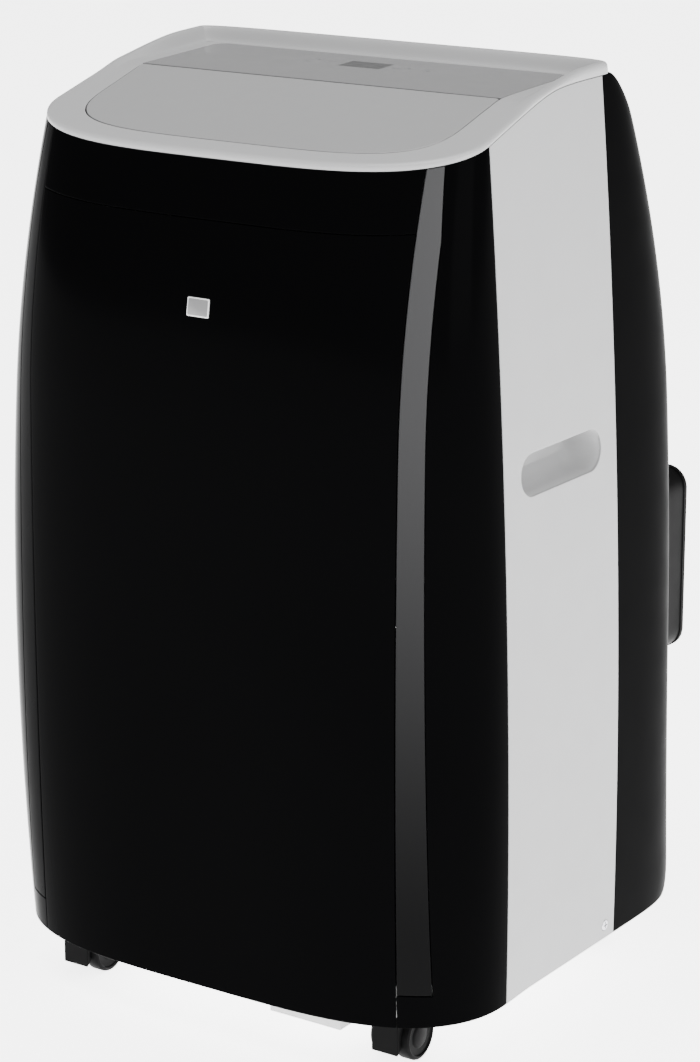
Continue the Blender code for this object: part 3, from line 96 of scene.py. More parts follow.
SOCKET_BORE_R = 0.0640
WALL = 0.0025
GAP = 0.0005                 # visible gap at each seam
EDGE = 0.0006                # rounding of the moulded edges
SIDE_EDGE = 0.0005           # and of the side panels, with their small openings
STRIP_EDGE = 0.0009
FLAP_GAP, FLAP_THICK = 0.0008, 0.0030
FLAP_CORNER = 0.0016
BARREL_R, FLAP_PIN_R = 0.0072, 0.0015
OPEN_CORNER_R, OPEN_CORNER_SHARE = 0.012, 0.18
GRILLE_BORDER, GRILLE_DEPTH = 0.0085, 0.0028
GRILLE_GAP = 0.0008
SOCKET_CORNER = 0.018
MARK_THICK = 0.0001
CORE = Vector((0.0, 0.0, 0.38))
TAU = 2.0 * math.pi


def lerp(a, b, share):
    return a + (b - a) * share


def smooth(share):
    share = min(1.0, max(0.0, share))
    return share * share * (3.0 - 2.0 * share)


def half_width(z):
    return HALF_WIDTH - WIDTH_FALL * (z - WIDEST_Z) ** 2


def front_y(z):
    return -FRONT_REACH + FRONT_LEAN * max(0.0, z - LEAN_START) ** 2


def rear_y(z):
    lean = REAR_LEAN * max(0.0, z - REAR_LEAN_START) ** 2
    flare = REAR_FLARE * (max(0.0, FLARE_TOP - z) / (FLARE_TOP - BOTTOM_LEVEL)) ** 2
    under = min(1.0, max(0.0, 1.0 - (z - BOTTOM_LEVEL) / TUCK_HEIGHT))
    wall = REAR_REACH - lean + flare - REAR_TUCK * (1.0 - math.sqrt(1.0 - under * under))
    climb = min(1.0, max(0.0, 1.0 - (TOP_FLAT_Z - z) / SHOULDER_DROP))
    return COVER_REAR_Y + (wall - COVER_REAR_Y) * (1.0 - climb ** SHOULDER_POWER) ** (1.0 / SHOULDER_POWER)


def seam_shift(z):
    return SEAM_BOW * ((z - SEAM_MID_Z) / SEAM_MID_Z) ** 2


def front_point(angle, z):
    c, s = math.cos(angle), max(0.0, math.sin(angle))
    seam = SEAM_FRONT_Y + seam_shift(z)
    x = math.copysign(half_width(z) * abs(c) ** (2.0 / FRONT_X_POWER), c)
    return x, seam + (front_y(z) - seam) * s ** (2.0 / FRONT_Y_POWER)


def rear_point(angle, z):
    c, s = math.cos(angle), max(0.0, math.sin(angle))
    seam = SEAM_REAR_Y + seam_shift(z)
    x = math.copysign(half_width(z) * abs(c) ** (2.0 / REAR_X_POWER), c)
    return x, seam + (rear_y(z) - seam) * s ** (2.0 / REAR_Y_POWER)


def front_angle(x, z):
    share = min(1.0, abs(x) / half_width(z)) ** (FRONT_X_POWER / 2.0)
    return math.acos(math.copysign(share, x))


def rear_surface_y(x, z):
    share = min(1.0, abs(x) / half_width(z)) ** (REAR_X_POWER / 2.0)
    seam = SEAM_REAR_Y + seam_shift(z)
    return seam + (rear_y(z) - seam) * math.sqrt(1.0 - share * share) ** (2.0 / REAR_Y_POWER)


def soft_min(a, b, blend):
    d = a - b
    return a - (d + math.sqrt(d * d + 4.0 * blend * blend)) / 2.0


def bottom(y):
    return min(BOTTOM_LEVEL, SHELL_BOTTOM + BOTTOM_RISE * max(0.0, y + FRONT_REACH))


def border_z(y):
    return soft_min(TOP_FLAT_Z, BORDER_Z + BORDER_SLOPE * y, BORDER_BLEND)


def flap_height(y):
    return FLAP_PLANE_Z + FLAP_SLOPE * y


def fascia_height(y):
    return FASCIA_PLANE_Z + FASCIA_SLOPE * y


def cover_z(y):
    return soft_min(fascia_height(y), flap_height(y), DECK_BLEND)


def ridge_z(y):
    return cover_z(y) + RIM_HEIGHT * smooth((y - RIM_START_Y) / (RIM_FULL_Y - RIM_START_Y))


def crease_z(y):
    return CREASE_Z + CREASE_SLOPE * (y - front_y(CREASE_Z))


def foot_line(_):
    return STRIP_FOOT_Z


def strip_outer_x(z):
    if z < CREASE_Z:
        share = (z - STRIP_FOOT_Z) / (CREASE_Z - STRIP_FOOT_Z)
        return STRIP_INNER_X + lerp(STRIP_WIDTH_FOOT, STRIP_WIDTH_CREASE, max(0.0, share))
    share = (z - CREASE_Z) / (TOP_FLAT_Z - CREASE_Z)
    return STRIP_INNER_X + lerp(STRIP_WIDTH_CREASE, STRIP_WIDTH_TOP, share)


def strip_inner(z):
    return front_angle(STRIP_INNER_X, z)


def strip_outer(z):
    return front_angle(strip_outer_x(z), z)


def far_strip_inner(z):
    return math.pi - strip_inner(z)


def side_seam(_):
    return 0.0


# --- Materials -------------------------------------------------------------------------------
def node(tree, kind, **values):
    made = tree.nodes.new(kind)
    for key, value in values.items():
        if key in made.inputs:
            made.inputs[key].default_value = value
        else:
            setattr(made, key, value)
    return made


def value_range(tree, source, low, high):
    made = node(tree, "ShaderNodeMapRange")
    made.inputs["To Min"].default_value = low
    made.inputs["To Max"].default_value = high
    tree.links.new(source, made.inputs["Value"])
    return made.outputs["Result"]


def plastic(name, colour, roughness, grain=900.0, bump=0.05, tint=0.06, metallic=0.0, specular=0.5,
            coat=0.0, spread=0.25):
    """Moulded or coated surface: a fine grain in the bump, slow changes of tone and of gloss."""
    made = bpy.data.materials.new(name)
    made.use_nodes = True
    tree = made.node_tree
    shader = tree.nodes["Principled BSDF"]
    shader.inputs["Metallic"].default_value = metallic
    shader.inputs["Specular IOR Level"].default_value = specular
    shader.inputs["Coat Weight"].default_value = coat
    shader.inputs["Coat Roughness"].default_value = 0.06
    place = node(tree, "ShaderNodeTexCoord").outputs["Object"]
    slow = node(tree, "ShaderNodeTexNoise", Scale=5.0, Detail=3.0)
    fine = node(tree, "ShaderNodeTexNoise", Scale=grain, Detail=2.0)
    smear = node(tree, "ShaderNodeTexNoise", Scale=38.0, Detail=4.0)
    for item in (slow, fine, smear):
        tree.links.new(place, item.inputs["Vector"])
    mix = node(tree, "ShaderNodeMix", data_type="RGBA")
    sockets = {s.identifier: s for s in mix.inputs}
    sockets["A_Color"].default_value = (*[c * (1.0 - tint) for c in colour], 1.0)
    sockets["B_Color"].default_value = (*[min(1.0, c * (1.0 + tint)) for c in colour], 1.0)
    tree.links.new(slow.outputs["Fac"], sockets["Factor_Float"])
    result = {s.identifier: s for s in mix.outputs}["Result_Color"]
    tree.links.new(result, shader.inputs["Base Color"])
    rough = value_range(tree, smear.outputs["Fac"], roughness * (1.0 - spread), roughness * (1.0 + spread))
    tree.links.new(rough, shader.inputs["Roughness"])
    ridge = node(tree, "ShaderNodeBump", Strength=bump, Distance=0.0004)
    tree.links.new(fine.outputs["Fac"], ridge.inputs["Height"])
    tree.links.new(ridge.outputs["Normal"], shader.inputs["Normal"])
    return made


def colour_by_height(made, low_z, high_z, low_colour, high_colour):
    """Lets a material's colour run from one height to another."""
    tree = made.node_tree
    place = node(tree, "ShaderNodeTexCoord").outputs["Object"]
    split = node(tree, "ShaderNodeSeparateXYZ")
    tree.links.new(place, split.inputs["Vector"])
    share = node(tree, "ShaderNodeMapRange", interpolation_type="SMOOTHSTEP")
    share.inputs["From Min"].default_value = low_z
    share.inputs["From Max"].default_value = high_z
    tree.links.new(split.outputs["Z"], share.inputs["Value"])
    mix = node(tree, "ShaderNodeMix", data_type="RGBA")
    sockets = {s.identifier: s for s in mix.inputs}
    sockets["A_Color"].default_value = (*low_colour, 1.0)
    sockets["B_Color"].default_value = (*high_colour, 1.0)
    tree.links.new(share.outputs["Result"], sockets["Factor_Float"])
    result = {s.identifier: s for s in mix.outputs}["Result_Color"]
    tree.links.new(result, tree.nodes["Principled BSDF"].inputs["Base Color"])
    return made


def banded(made, pitches, depth, painted_groove_shade):
    """Adds fine parallel bands, such as fins or threads, across the given axes, with painted shade darkening the
    grooves between them.
    """
    tree = made.node_tree
    shader = tree.nodes["Principled BSDF"]
    place = node(tree, "ShaderNodeTexCoord").outputs["Object"]
    height = None
    for axis, pitch in pitches:
        wave = node(tree, "ShaderNodeTexWave", bands_direction=axis, Scale=0.31416 / pitch)
        tree.links.new(place, wave.inputs["Vector"])
        if height is None:
            height = wave.outputs["Fac"]
        else:
            both = node(tree, "ShaderNodeMath", operation="MAXIMUM")
            tree.links.new(height, both.inputs[0])
            tree.links.new(wave.outputs["Fac"], both.inputs[1])
            height = both.outputs[0]
    ridge = node(tree, "ShaderNodeBump", Strength=0.9, Distance=depth)
    tree.links.new(height, ridge.inputs["Height"])
    tree.links.new(ridge.outputs["Normal"], shader.inputs["Normal"])
    # Painted shade: the colour is darkened in the grooves between bands.
    old = shader.inputs["Base Color"].links[0].from_socket
    mix = node(tree, "ShaderNodeMix", data_type="RGBA", blend_type="MULTIPLY")
    sockets = {s.identifier: s for s in mix.inputs}
    ramp = node(tree, "ShaderNodeValToRGB")
    ramp.color_ramp.elements[0].color = (painted_groove_shade, painted_groove_shade, painted_groove_shade, 1.0)
    tree.links.new(height, ramp.inputs["Fac"])
    sockets["Factor_Float"].default_value = 1.0
    tree.links.new(old, sockets["A_Color"])
    tree.links.new(ramp.outputs["Color"], sockets["B_Color"])
    result = {s.identifier: s for s in mix.outputs}["Result_Color"]
    tree.links.new(result, shader.inputs["Base Color"])
    return made


GLOSS_BLACK = plastic("gloss_black", (0.0010, 0.0010, 0.0011), 0.16, 700.0, 0.008, 0.15, specular=0.004)
REAR_BLACK = plastic("rear_black", (0.0008, 0.0008, 0.0009), 0.34, 1500.0, 0.10, 0.15, specular=0.003)
STRIP = plastic("satin_strip", (0.05, 0.05, 0.052), 0.30, 1200.0, 0.04, specular=0.02)
# Painted reflection: the strip's colour runs from near black at the foot to dark grey towards the top.
colour_by_height(STRIP, 0.10, 0.74, (0.002, 0.002, 0.0021), (0.042, 0.042, 0.043))
# Darker copy of the strip material for the left strip, the same finish as the right: painted shade, over the same
# painted reflection from foot to top.
STRIP_PAINTED_SHADE = plastic("satin_strip_painted_shade", (0.01, 0.01, 0.01), 0.30, 1200.0, 0.04, specular=0.004)
colour_by_height(STRIP_PAINTED_SHADE, 0.10, 0.74, (0.0008, 0.0008, 0.0009), (0.006, 0.006, 0.0062))
# White plastic of the side panels; the copies below differ from it only by painted light and shade.
WHITE = plastic("white_plastic", (0.27, 0.27, 0.273), 0.40, 1600.0, 0.06, 0.015)
# Lighter copy of the white plastic for the top cover: painted light.
TOP_WHITE_PAINTED_LIGHT = plastic("top_white_painted_light", (0.31, 0.31, 0.313), 0.38, 1600.0, 0.06, 0.015)
# Much lighter copy of the white plastic for the grip cup, lifting the recess: painted light.
CUP_WHITE_PAINTED_LIGHT = plastic("cup_white_painted_light", (0.40, 0.40, 0.403), 0.40, 1600.0, 0.06, 0.015)
# Darker copy of the white plastic for the flap, its ribs and barrel: painted shade.
FLAP_WHITE_PAINTED_SHADE = plastic("flap_white_painted_shade", (0.235, 0.235, 0.237), 0.36, 1600.0, 0.06, 0.015)
FASCIA = plastic("fascia_gloss", (0.14, 0.14, 0.142), 0.20, 900.0, 0.01, 0.02)
DISPLAY = plastic("display_smoke", (0.006, 0.006, 0.0064), 0.12, 500.0, 0.004, 0.05, specular=0.2)
INK = plastic("key_ink", (0.16, 0.16, 0.165), 0.45)
WINDOW = plastic("window_diffuser", (0.15, 0.15, 0.152), 0.22, 400.0, 0.02, 0.05)
WINDOW_RIM = plastic("window_rim", (0.62, 0.62, 0.62), 0.30, 900.0, 0.02, 0.03)
SATIN_BLACK = plastic("satin_black", (0.003, 0.003, 0.0031), 0.42, 1500.0, 0.12, 0.12, specular=0.02)
CASTER_BLACK = plastic("caster_nylon", (0.003, 0.003, 0.0031), 0.45, 1100.0, 0.12, 0.15, specular=0.02)
PAN_GREY = plastic("pan_grey", (0.52, 0.52, 0.52), 0.48, 1200.0, 0.08, 0.03)
DUCT = plastic("duct_grey", (0.20, 0.20, 0.205), 0.55, 900.0, 0.12, 0.06)
FOAM = plastic("deck_foam", (0.06, 0.06, 0.062), 0.85, 350.0, 0.6, 0.2)
ENAMEL = plastic("compressor_enamel", (0.015, 0.015, 0.015), 0.28, 300.0, 0.10, 0.2, coat=0.3)
STEEL = plastic("zinc_steel", (0.52, 0.52, 0.54), 0.30, 260.0, 0.05, 0.06, metallic=1.0)
COPPER = plastic("copper_tube", (0.70, 0.38, 0.24), 0.26, 240.0, 0.05, 0.10, metallic=1.0)
RUBBER = plastic("rubber", (0.016, 0.016, 0.016), 0.72, 900.0, 0.3, 0.15)
FINS = banded(plastic("coil_fins", (0.17, 0.17, 0.175), 0.50, metallic=0.5), (("X", 0.0036),), 0.0010, 0.15)
NET = banded(plastic("filter_net", (0.05, 0.05, 0.052), 0.75), (("X", 0.0016), ("Z", 0.0016)), 0.0006, 0.25)


# --- Mesh helpers ----------------------------------------------------------------------------
def finish_object(name, bm, material, body, replaced=(), smooth_angle=40.0):
    bmesh.ops.recalc_face_normals(bm, faces=bm.faces)
    mesh = bpy.data.meshes.new(name)
    bm.to_mesh(mesh)
    bm.free()
    mesh.shade_smooth()
    mesh.set_sharp_from_angle(angle=math.radians(smooth_angle))
    made = bpy.data.objects.new(name, mesh)
    bpy.context.scene.collection.objects.link(made)
    if material is not None:
        mesh.materials.append(material)
        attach(made, body)
        if replaced:
            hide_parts(*replaced)
    return made


def modify(item, kind, name, **values):
    step = item.modifiers.new(name, kind)
    for key, value in values.items():
        setattr(step, key, value)
    return step


def even_normals(item):
    modify(item, "WEIGHTED_NORMAL", "normals", keep_sharp=True)
    return item


def rounded(item, width=EDGE, segments=3, angle=38.0):
    modify(item, "BEVEL", "edge", width=width, segments=segments, limit_method="ANGLE",
           angle_limit=math.radians(angle), use_clamp_overlap=False, harden_normals=False)
    return even_normals(item)


def carved(item, cutter, operation="DIFFERENCE"):
    modify(item, "BOOLEAN", "carve", operation=operation, solver="EXACT", object=cutter)
    cutter.hide_render = True
    cutter.hide_viewport = True
    return item


def applied(item):
    """Replaces the object's mesh with what its modifiers make of it."""
    graph = bpy.context.evaluated_depsgraph_get()
    graph.update()
    mesh = bpy.data.meshes.new_from_object(item.evaluated_get(graph))
    item.modifiers.clear()
    item.data = mesh
    return item


def merged(item, distance=0.00035):
    """Joins points that a cut left too close together to be rounded."""
    bm = bmesh.new()
    bm.from_mesh(item.data)
    bmesh.ops.remove_doubles(bm, verts=bm.verts, dist=distance)
    bmesh.ops.dissolve_degenerate(bm, edges=bm.edges, dist=0.00005)
    bm.to_mesh(item.data)
    bm.free()


def remove(*items):
    for item in items:
        bpy.data.objects.remove(item, do_unlink=True)


def column(point, low, high, count, gap_low=0.0, gap_high=0.0):
    made = []
    for i in range(count + 1):
        z = low(0.0)
        for _ in range(6):
            y = point(z)[1]
            z = lerp(low(y) + gap_low, high(y) - gap_high, i / count)
        x, y = point(z)
        made.append((x, y, z))
    return made


def drawn_in(columns, gap):
    """Draws the first and last columns in, for the gap at a seam."""
    for end, inner in ((0, 1), (-1, -2)):
        for i, (a, b) in enumerate(zip(columns[end], columns[inner])):
            columns[end][i] = tuple(Vector(a) + (Vector(b) - Vector(a)).normalized() * gap)
    return columns


def front_columns(edge_a, edge_b, columns, rows, low, high, gap_low, gap_high):
    made = []
    for j in range(columns + 1):
        def point(z, share=j / columns):
            return front_point(lerp(edge_a(z), edge_b(z), share), z)
        made.append(column(point, low, high, rows, gap_low, gap_high))
    return made


def skin(name, grid, material, replaced, wall=WALL, keep=None, body="root", holes=(), edge=EDGE):
    """A moulded shell through rows of points, thickened inwards, with its holes and rounded edges."""
    bm = bmesh.new()
    rows = [[bm.verts.new(p) for p in row] for row in grid]
    for i in range(len(rows) - 1):
        for j in range(len(grid[0]) - 1):
            if keep is None or keep(i, j):
                bm.faces.new((rows[i][j], rows[i][j + 1], rows[i + 1][j + 1], rows[i + 1][j]))
    bmesh.ops.delete(bm, geom=[v for v in bm.verts if not v.link_faces], context="VERTS")
    bm.normal_update()
    if sum(f.normal.dot(f.calc_center_median() - CORE) * f.calc_area() for f in bm.faces) < 0:
        bmesh.ops.reverse_faces(bm, faces=bm.faces)
    mesh = bpy.data.meshes.new(name)
    bm.to_mesh(mesh)
    bm.free()
    made = bpy.data.objects.new(name, mesh)
    bpy.context.scene.collection.objects.link(made)
    mesh.materials.append(material)
    modify(made, "SOLIDIFY", "wall", thickness=wall, offset=-1.0, use_even_offset=True)
    for cutter in holes:
        carved(made, cutter)
    if holes:
        applied(made)
        remove(*holes)
        merged(made)
    made.data.shade_smooth()
    rounded(made, edge)
    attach(made, body)
    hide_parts(*replaced)
    return made


def loft(name, loops, material, body="root", replaced=(), ring=False, caps=True, angle=40.0):
    """A closed solid through closed loops with equal numbers of points; ring joins last to first."""
    bm = bmesh.new()
    rows = [[bm.verts.new(p) for p in loop] for loop in loops]
    pairs = list(zip(rows, rows[1:])) + ([(rows[-1], rows[0])] if ring else [])
    count = len(rows[0])
    for a, b in pairs:
        for j in range(count):
            k = (j + 1) % count
            bm.faces.new((a[j], a[k], b[k], b[j]))
    if caps and not ring:
        bm.faces.new(rows[0])
        bm.faces.new(rows[-1])
    return finish_object(name, bm, material, body, replaced, angle)


def prism_mesh(bm, outline, low, high, axis):
    """Adds a flat outline carried from low to high along an axis."""
    def place(point, along):
        u, v = point
        return {"X": (along, u, v), "Y": (u, along, v), "Z": (u, v, along)}[axis]
    a = [bm.verts.new(place(p, low)) for p in outline]
    b = [bm.verts.new(place(p, high)) for p in outline]
    bm.faces.new(a)
    bm.faces.new(b)
    for i in range(len(a)):
        k = (i + 1) % len(a)
        bm.faces.new((a[i], a[k], b[k], b[i]))


def cutter(name, outline, low, high, axis):
    bm = bmesh.new()
    prism_mesh(bm, outline, low, high, axis)
    return finish_object(name, bm, None, None)


def circle(centre, radius, steps=64):
    return [(centre[0] + radius * math.cos(TAU * i / steps), centre[1] + radius * math.sin(TAU * i / steps))
            for i in range(steps)]


def rounded_rectangle(centre, half, radius, steps=8):
    made = []
    for sx, sy, start in ((1, -1, -90), (1, 1, 0), (-1, 1, 90), (-1, -1, 180)):
        cx, cy = centre[0] + sx * (half[0] - radius), centre[1] + sy * (half[1] - radius)
        for i in range(steps + 1):
            angle = math.radians(start + 90 * i / steps)
            made.append((cx + radius * math.cos(angle), cy + radius * math.sin(angle)))
    return made


def stadium(u, v, grow=0.0, steps=24):
    radius = (v[1] - v[0]) / 2
    middle = (v[0] + v[1]) / 2
    made = []
    for centre, start in ((u[1] - radius, -math.pi / 2), (u[0] + radius, math.pi / 2)):
        for i in range(steps + 1):
            angle = start + math.pi * i / steps
            made.append((centre + (radius + grow) * math.cos(angle), middle + (radius + grow) * math.sin(angle)))
    return made


def turned(name, profile, centre, axis, material, body, replaced=(), steps=64, angle=35.0):
    """A turned solid round an axis: profile of (radius, distance along the axis)."""
    loops = []
    for radius, along in profile:
        loop = []
        for i in range(steps):
            u, v = radius * math.cos(TAU * i / steps), radius * math.sin(TAU * i / steps)
            offset = {"X": (along, u, v), "Y": (u, along, v), "Z": (u, v, along)}[axis]
            loop.append(tuple(c + o for c, o in zip(centre, offset)))
        loops.append(loop)
    return loft(name, loops, material, body, replaced, angle=angle)


# --- Front -----------------------------------------------------------------------------------
FRONT_FINE, HEIGHT_FINE = 72, 64
WINDOW_Z, WINDOW_SIZE = 0.595, (0.021, 0.015)


def mirror_points(grid):
    return [[(-x, y, z) for x, y, z in row] for row in grid]


def leaning(z):
    """A frame on the front face at a height: x across, y into the casing, z up the face."""
    lean = math.atan(2.0 * FRONT_LEAN * max(0.0, z - LEAN_START))
    return Matrix.Translation((0.0, front_y(z), z)) @ Matrix.Rotation(-lean, 4, "X")


def make_front():
    grid = front_columns(strip_inner, far_strip_inner, FRONT_FINE, HEIGHT_FINE, bottom, crease_z,
                         0.0, GAP / 2)
    half = (WINDOW_SIZE[0] / 2, WINDOW_SIZE[1] / 2)
    hole = cutter("window_hole", rounded_rectangle((0.0, 0.0), half, 0.0012), -0.01, 0.01, "Y")
    hole.data.transform(leaning(WINDOW_Z))
    skin("front_panel_skin", drawn_in(grid, GAP / 2), GLOSS_BLACK, ["front_panel"],
         holes=[hole])
    grid = front_columns(strip_inner, far_strip_inner, FRONT_FINE, 20, crease_z, border_z, GAP / 2, GAP / 2)
    skin("front_band_skin", drawn_in(grid, GAP / 2), GLOSS_BLACK, ["front_band"])
    make_window()
    grid = front_columns(strip_outer, strip_inner, 8, HEIGHT_FINE, foot_line, border_z, GAP, GAP / 2)
    strip = drawn_in(grid, GAP)
    corner = corner_columns()
    # The left strip takes the darker copy: painted shade.
    sides = (("right", strip, corner, STRIP),
             ("left", mirror_points(strip), mirror_points(corner), STRIP_PAINTED_SHADE))
    for side, a, b, strip_painted_light in sides:
        skin("accent_strip_skin_" + side, a, strip_painted_light, ["accent_strip_" + side], edge=STRIP_EDGE)
        skin("front_corner_skin_" + side, b, GLOSS_BLACK, ["front_corner_" + side],
             keep=corner_keep)


CORNER_FINE, FOOT_FINE = 24, 8


def corner_columns():
    outer = []
    for j in range(CORNER_FINE + FOOT_FINE + 1):
        if j <= CORNER_FINE:
            edges, share = (side_seam, strip_outer), j / CORNER_FINE
        else:
            edges, share = (strip_outer, strip_inner), (j - CORNER_FINE) / FOOT_FINE

        def point(z, edges=edges, share=share):
            return front_point(lerp(edges[0](z), edges[1](z), share), z)
        foot = column(point, bottom, foot_line, 2)
        outer.append(foot[:2] + column(point, foot_line, border_z, HEIGHT_FINE, 0.0, GAP / 2))
    return drawn_in(outer, GAP / 2)


def corner_keep(j, i):
    return j < CORNER_FINE or i < 2


def make_window():
    """The signal window: a light rim round a diffusing pane with softly rounded edges."""
    half = (WINDOW_SIZE[0] / 2 - 0.0002, WINDOW_SIZE[1] / 2 - 0.0002)
    place = leaning(WINDOW_Z)
    for name, material, inset, out, replaced in (("signal_window_rim", WINDOW_RIM, 0.0, 0.0002, ()),
                                                 ("signal_window_pane", WINDOW, 0.0009, 0.0005,
                                                  ["signal_window"])):
        size = (half[0] - inset, half[1] - inset)
        loops = []
        for step, y in ((0.0, 0.0024), (0.0, -out + 0.0004), (0.0002, -out + 0.0001), (0.0005, -out)):
            shape = rounded_rectangle((0.0, 0.0), (size[0] - step, size[1] - step), 0.0012 - step)
            loops.append([tuple(place @ Vector((x, y, z))) for x, z in shape])
        loft(name, loops, material, replaced=replaced)


# --- Sides -----------------------------------------------------------------------------------
SIDE_FINE = 24
CUP_DEPTH = 0.034


def make_side(side, sign):
    columns = []
    for j in range(SIDE_FINE + 1):
        def point(z, share=j / SIDE_FINE):
            return sign * half_width(z), lerp(SEAM_FRONT_Y, SEAM_REAR_Y, share) + seam_shift(z)
        columns.append(column(point, bottom, border_z, HEIGHT_FINE, 0.0, GAP / 2))
    face = half_width(SLOT_Z[0])
    through = sorted((sign * (face - 0.02), sign * (face + 0.02)))
    slot = cutter("slot_" + side, stadium(SLOT_Y, SLOT_Z), *through, "X")
    low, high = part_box("side_screw_" + side)
    middle = (low + high) / 2
    reach = sorted((sign * (abs(middle.x) - 0.012), sign * (abs(middle.x) + 0.012)))
    screw_r = (high.y - low.y) / 2
    screw_hole = cutter("screw_hole_" + side, circle((middle.y, middle.z), screw_r + 0.0003, 32), *reach, "X")
    skin("side_panel_skin_" + side, drawn_in(columns, GAP / 2), WHITE, ["side_panel_" + side],
         holes=[slot, screw_hole], edge=SIDE_EDGE)
    make_cup(side, sign, face)
    make_screw(side, sign, middle, screw_r, max(abs(low.x), abs(high.x)))


def make_cup(side, sign, face):
    """The grip: a scoop whose floor rises inwards, with a flat back."""
    centre_y, centre_z = sum(SLOT_Y) / 2, sum(SLOT_Z) / 2
    mouth = stadium(SLOT_Y, SLOT_Z, 0.0)
    loops = []
    for i in range(15):
        depth = i / 14
        x = sign * (face - WALL * 0.9 - CUP_DEPTH * (1.0 - (1.0 - depth) ** 1.6))
        loop = []
        for y, z in mouth:
            up = z - centre_z
            rise = 0.62 if up < 0 else 0.10
            pull = 0.05 * depth ** 4
            loop.append((x, centre_y + (y - centre_y) * (1.0 - pull),
                         centre_z + up * (1.0 - rise * depth ** 2.2)))
        loops.append(loop)
    outer = []
    for loop, spread in ((loops[-1], 0.0016), (loops[7], 0.0020), (loops[0], 0.0050)):
        grown = []
        for x, y, z in loop:
            away = Vector((0.0, y - centre_y, z - centre_z)).normalized() * spread
            grown.append((x - (sign * 0.0016 if loop is loops[-1] else 0.0), y + away.y, z + away.z))
        outer.append(grown)
    bm = bmesh.new()
    rows = [[bm.verts.new(p) for p in loop] for loop in loops]
    back = [[bm.verts.new(p) for p in loop] for loop in outer]
    count = len(mouth)
    bm.faces.new(rows[-1])
    bm.faces.new(back[0])
    for a, b in list(zip(rows, rows[1:])) + list(zip(back, back[1:])) + [(back[-1], rows[0])]:
        for j in range(count):
            k = (j + 1) % count
            bm.faces.new((a[j], a[k], b[k], b[j]))
    cup = finish_object("handle_cup_skin_" + side, bm, CUP_WHITE_PAINTED_LIGHT, "root", ["handle_cup_" + side])
    even_normals(cup)


def make_screw(side, sign, middle, radius, face):
    """Pan-head screw with a cross recess."""
    profile = ((radius * 0.55, -0.004), (radius * 0.60, -0.0010), (radius, -0.0008), (radius, 0.0),
               (radius * 0.92, 0.0005), (radius * 0.6, 0.0009), (0.0004, 0.0010))
    profile = [(r, sign * (face - 0.0008 + h)) for r, h in profile]
    centre = (0.0, middle.y, middle.z)
    head = turned("side_screw_head_" + side, profile, centre, "X", STEEL, "root", ["side_screw_" + side],
                  40)
    arm, reach = 0.0005, radius * 0.62
    cross = [(-arm, -reach), (arm, -reach), (arm, -arm), (reach, -arm), (reach, arm), (arm, arm),
             (arm, reach), (-arm, reach), (-arm, arm), (-reach, arm), (-reach, -arm), (-arm, -arm)]
    cross = [(middle.y + u, middle.z + v) for u, v in cross]
    span = sorted((sign * (face - 0.0010), sign * (face + 0.002)))
    tool = cutter("cross_" + side, cross, *span, "X")
    carved(head, tool)
    applied(head)
    remove(tool)
    head.data.set_sharp_from_angle(angle=math.radians(30.0))


# --- Top -------------------------------------------------------------------------------------
FRONT_STEPS, SIDE_STEPS, REAR_STEPS = 128, 44, 96
CREST_INSET, RIM_FOOT_INSET, RIM_POWER = 0.0060, 0.0155, 3.4


def around(front, side, rear):
    """One loop of points: front arc, left side, rear arc, right side."""
    made = [front(math.pi * j / FRONT_STEPS) for j in range(FRONT_STEPS + 1)]
    made += [side(-1, j / SIDE_STEPS) for j in range(1, SIDE_STEPS)]
    made += [rear(j / REAR_STEPS) for j in range(REAR_STEPS + 1)]
    made += [side(1, 1.0 - j / SIDE_STEPS) for j in range(1, SIDE_STEPS)]
    return made


def cover_outline():
    shift = seam_shift(TOP_FLAT_Z)

    def front(angle):
        return column(lambda z: front_point(angle, z), bottom, border_z, 1)[-1][:2]

    def side(sign, share):
        y = lerp(SEAM_FRONT_Y, SEAM_REAR_Y, share) + shift
        return sign * half_width(border_z(y)), y

    def rear(share):
        return rear_point(math.pi * (1.0 - share), TOP_FLAT_Z)
    return around(front, side, rear)


def opening_outline(inset=0.0):
    half, front_edge, rear_edge = OPEN_HALF - inset, OPEN_FRONT_Y + inset, OPEN_REAR_Y - inset
    radius = OPEN_CORNER_R
    corner_y = OPEN_REAR_Y - radius

    def front(angle):
        c, s = math.cos(angle), max(0.0, math.sin(angle))
        return (math.copysign(half * abs(c) ** (2 / OPEN_X_POWER), c),
                OPEN_SIDE_Y + (front_edge - OPEN_SIDE_Y) * s ** (2 / OPEN_Y_POWER))

    def side(sign, share):
        return sign * half, lerp(OPEN_SIDE_Y, corner_y, share)

    def rear(share):
        arc = OPEN_CORNER_SHARE
        turn = min(share, 1.0 - share) / arc
        if turn < 1.0:
            angle = math.pi / 2 * turn
            x = half - radius + radius * math.cos(angle)
            y = corner_y + (rear_edge - corner_y) * math.sin(angle)
            return (-x if share < 0.5 else x), y
        along = (share - arc) / (1.0 - 2 * arc)
        return lerp(-(half - radius), half - radius, along), rear_edge
    return around(front, side, rear)


def inset_loop(loop, distance):
    made = []
    count = len(loop)
    for i, point in enumerate(loop):
        before, after = loop[i - 3], loop[(i + 3) % count]
        along = Vector((after[0] - before[0], after[1] - before[1])).normalized()
        normal = Vector((along[1], -along[0]))
        if normal.dot(Vector(point)) > 0:
            normal.negate()
        made.append((point[0] + normal[0] * distance, point[1] + normal[1] * distance))
    return made


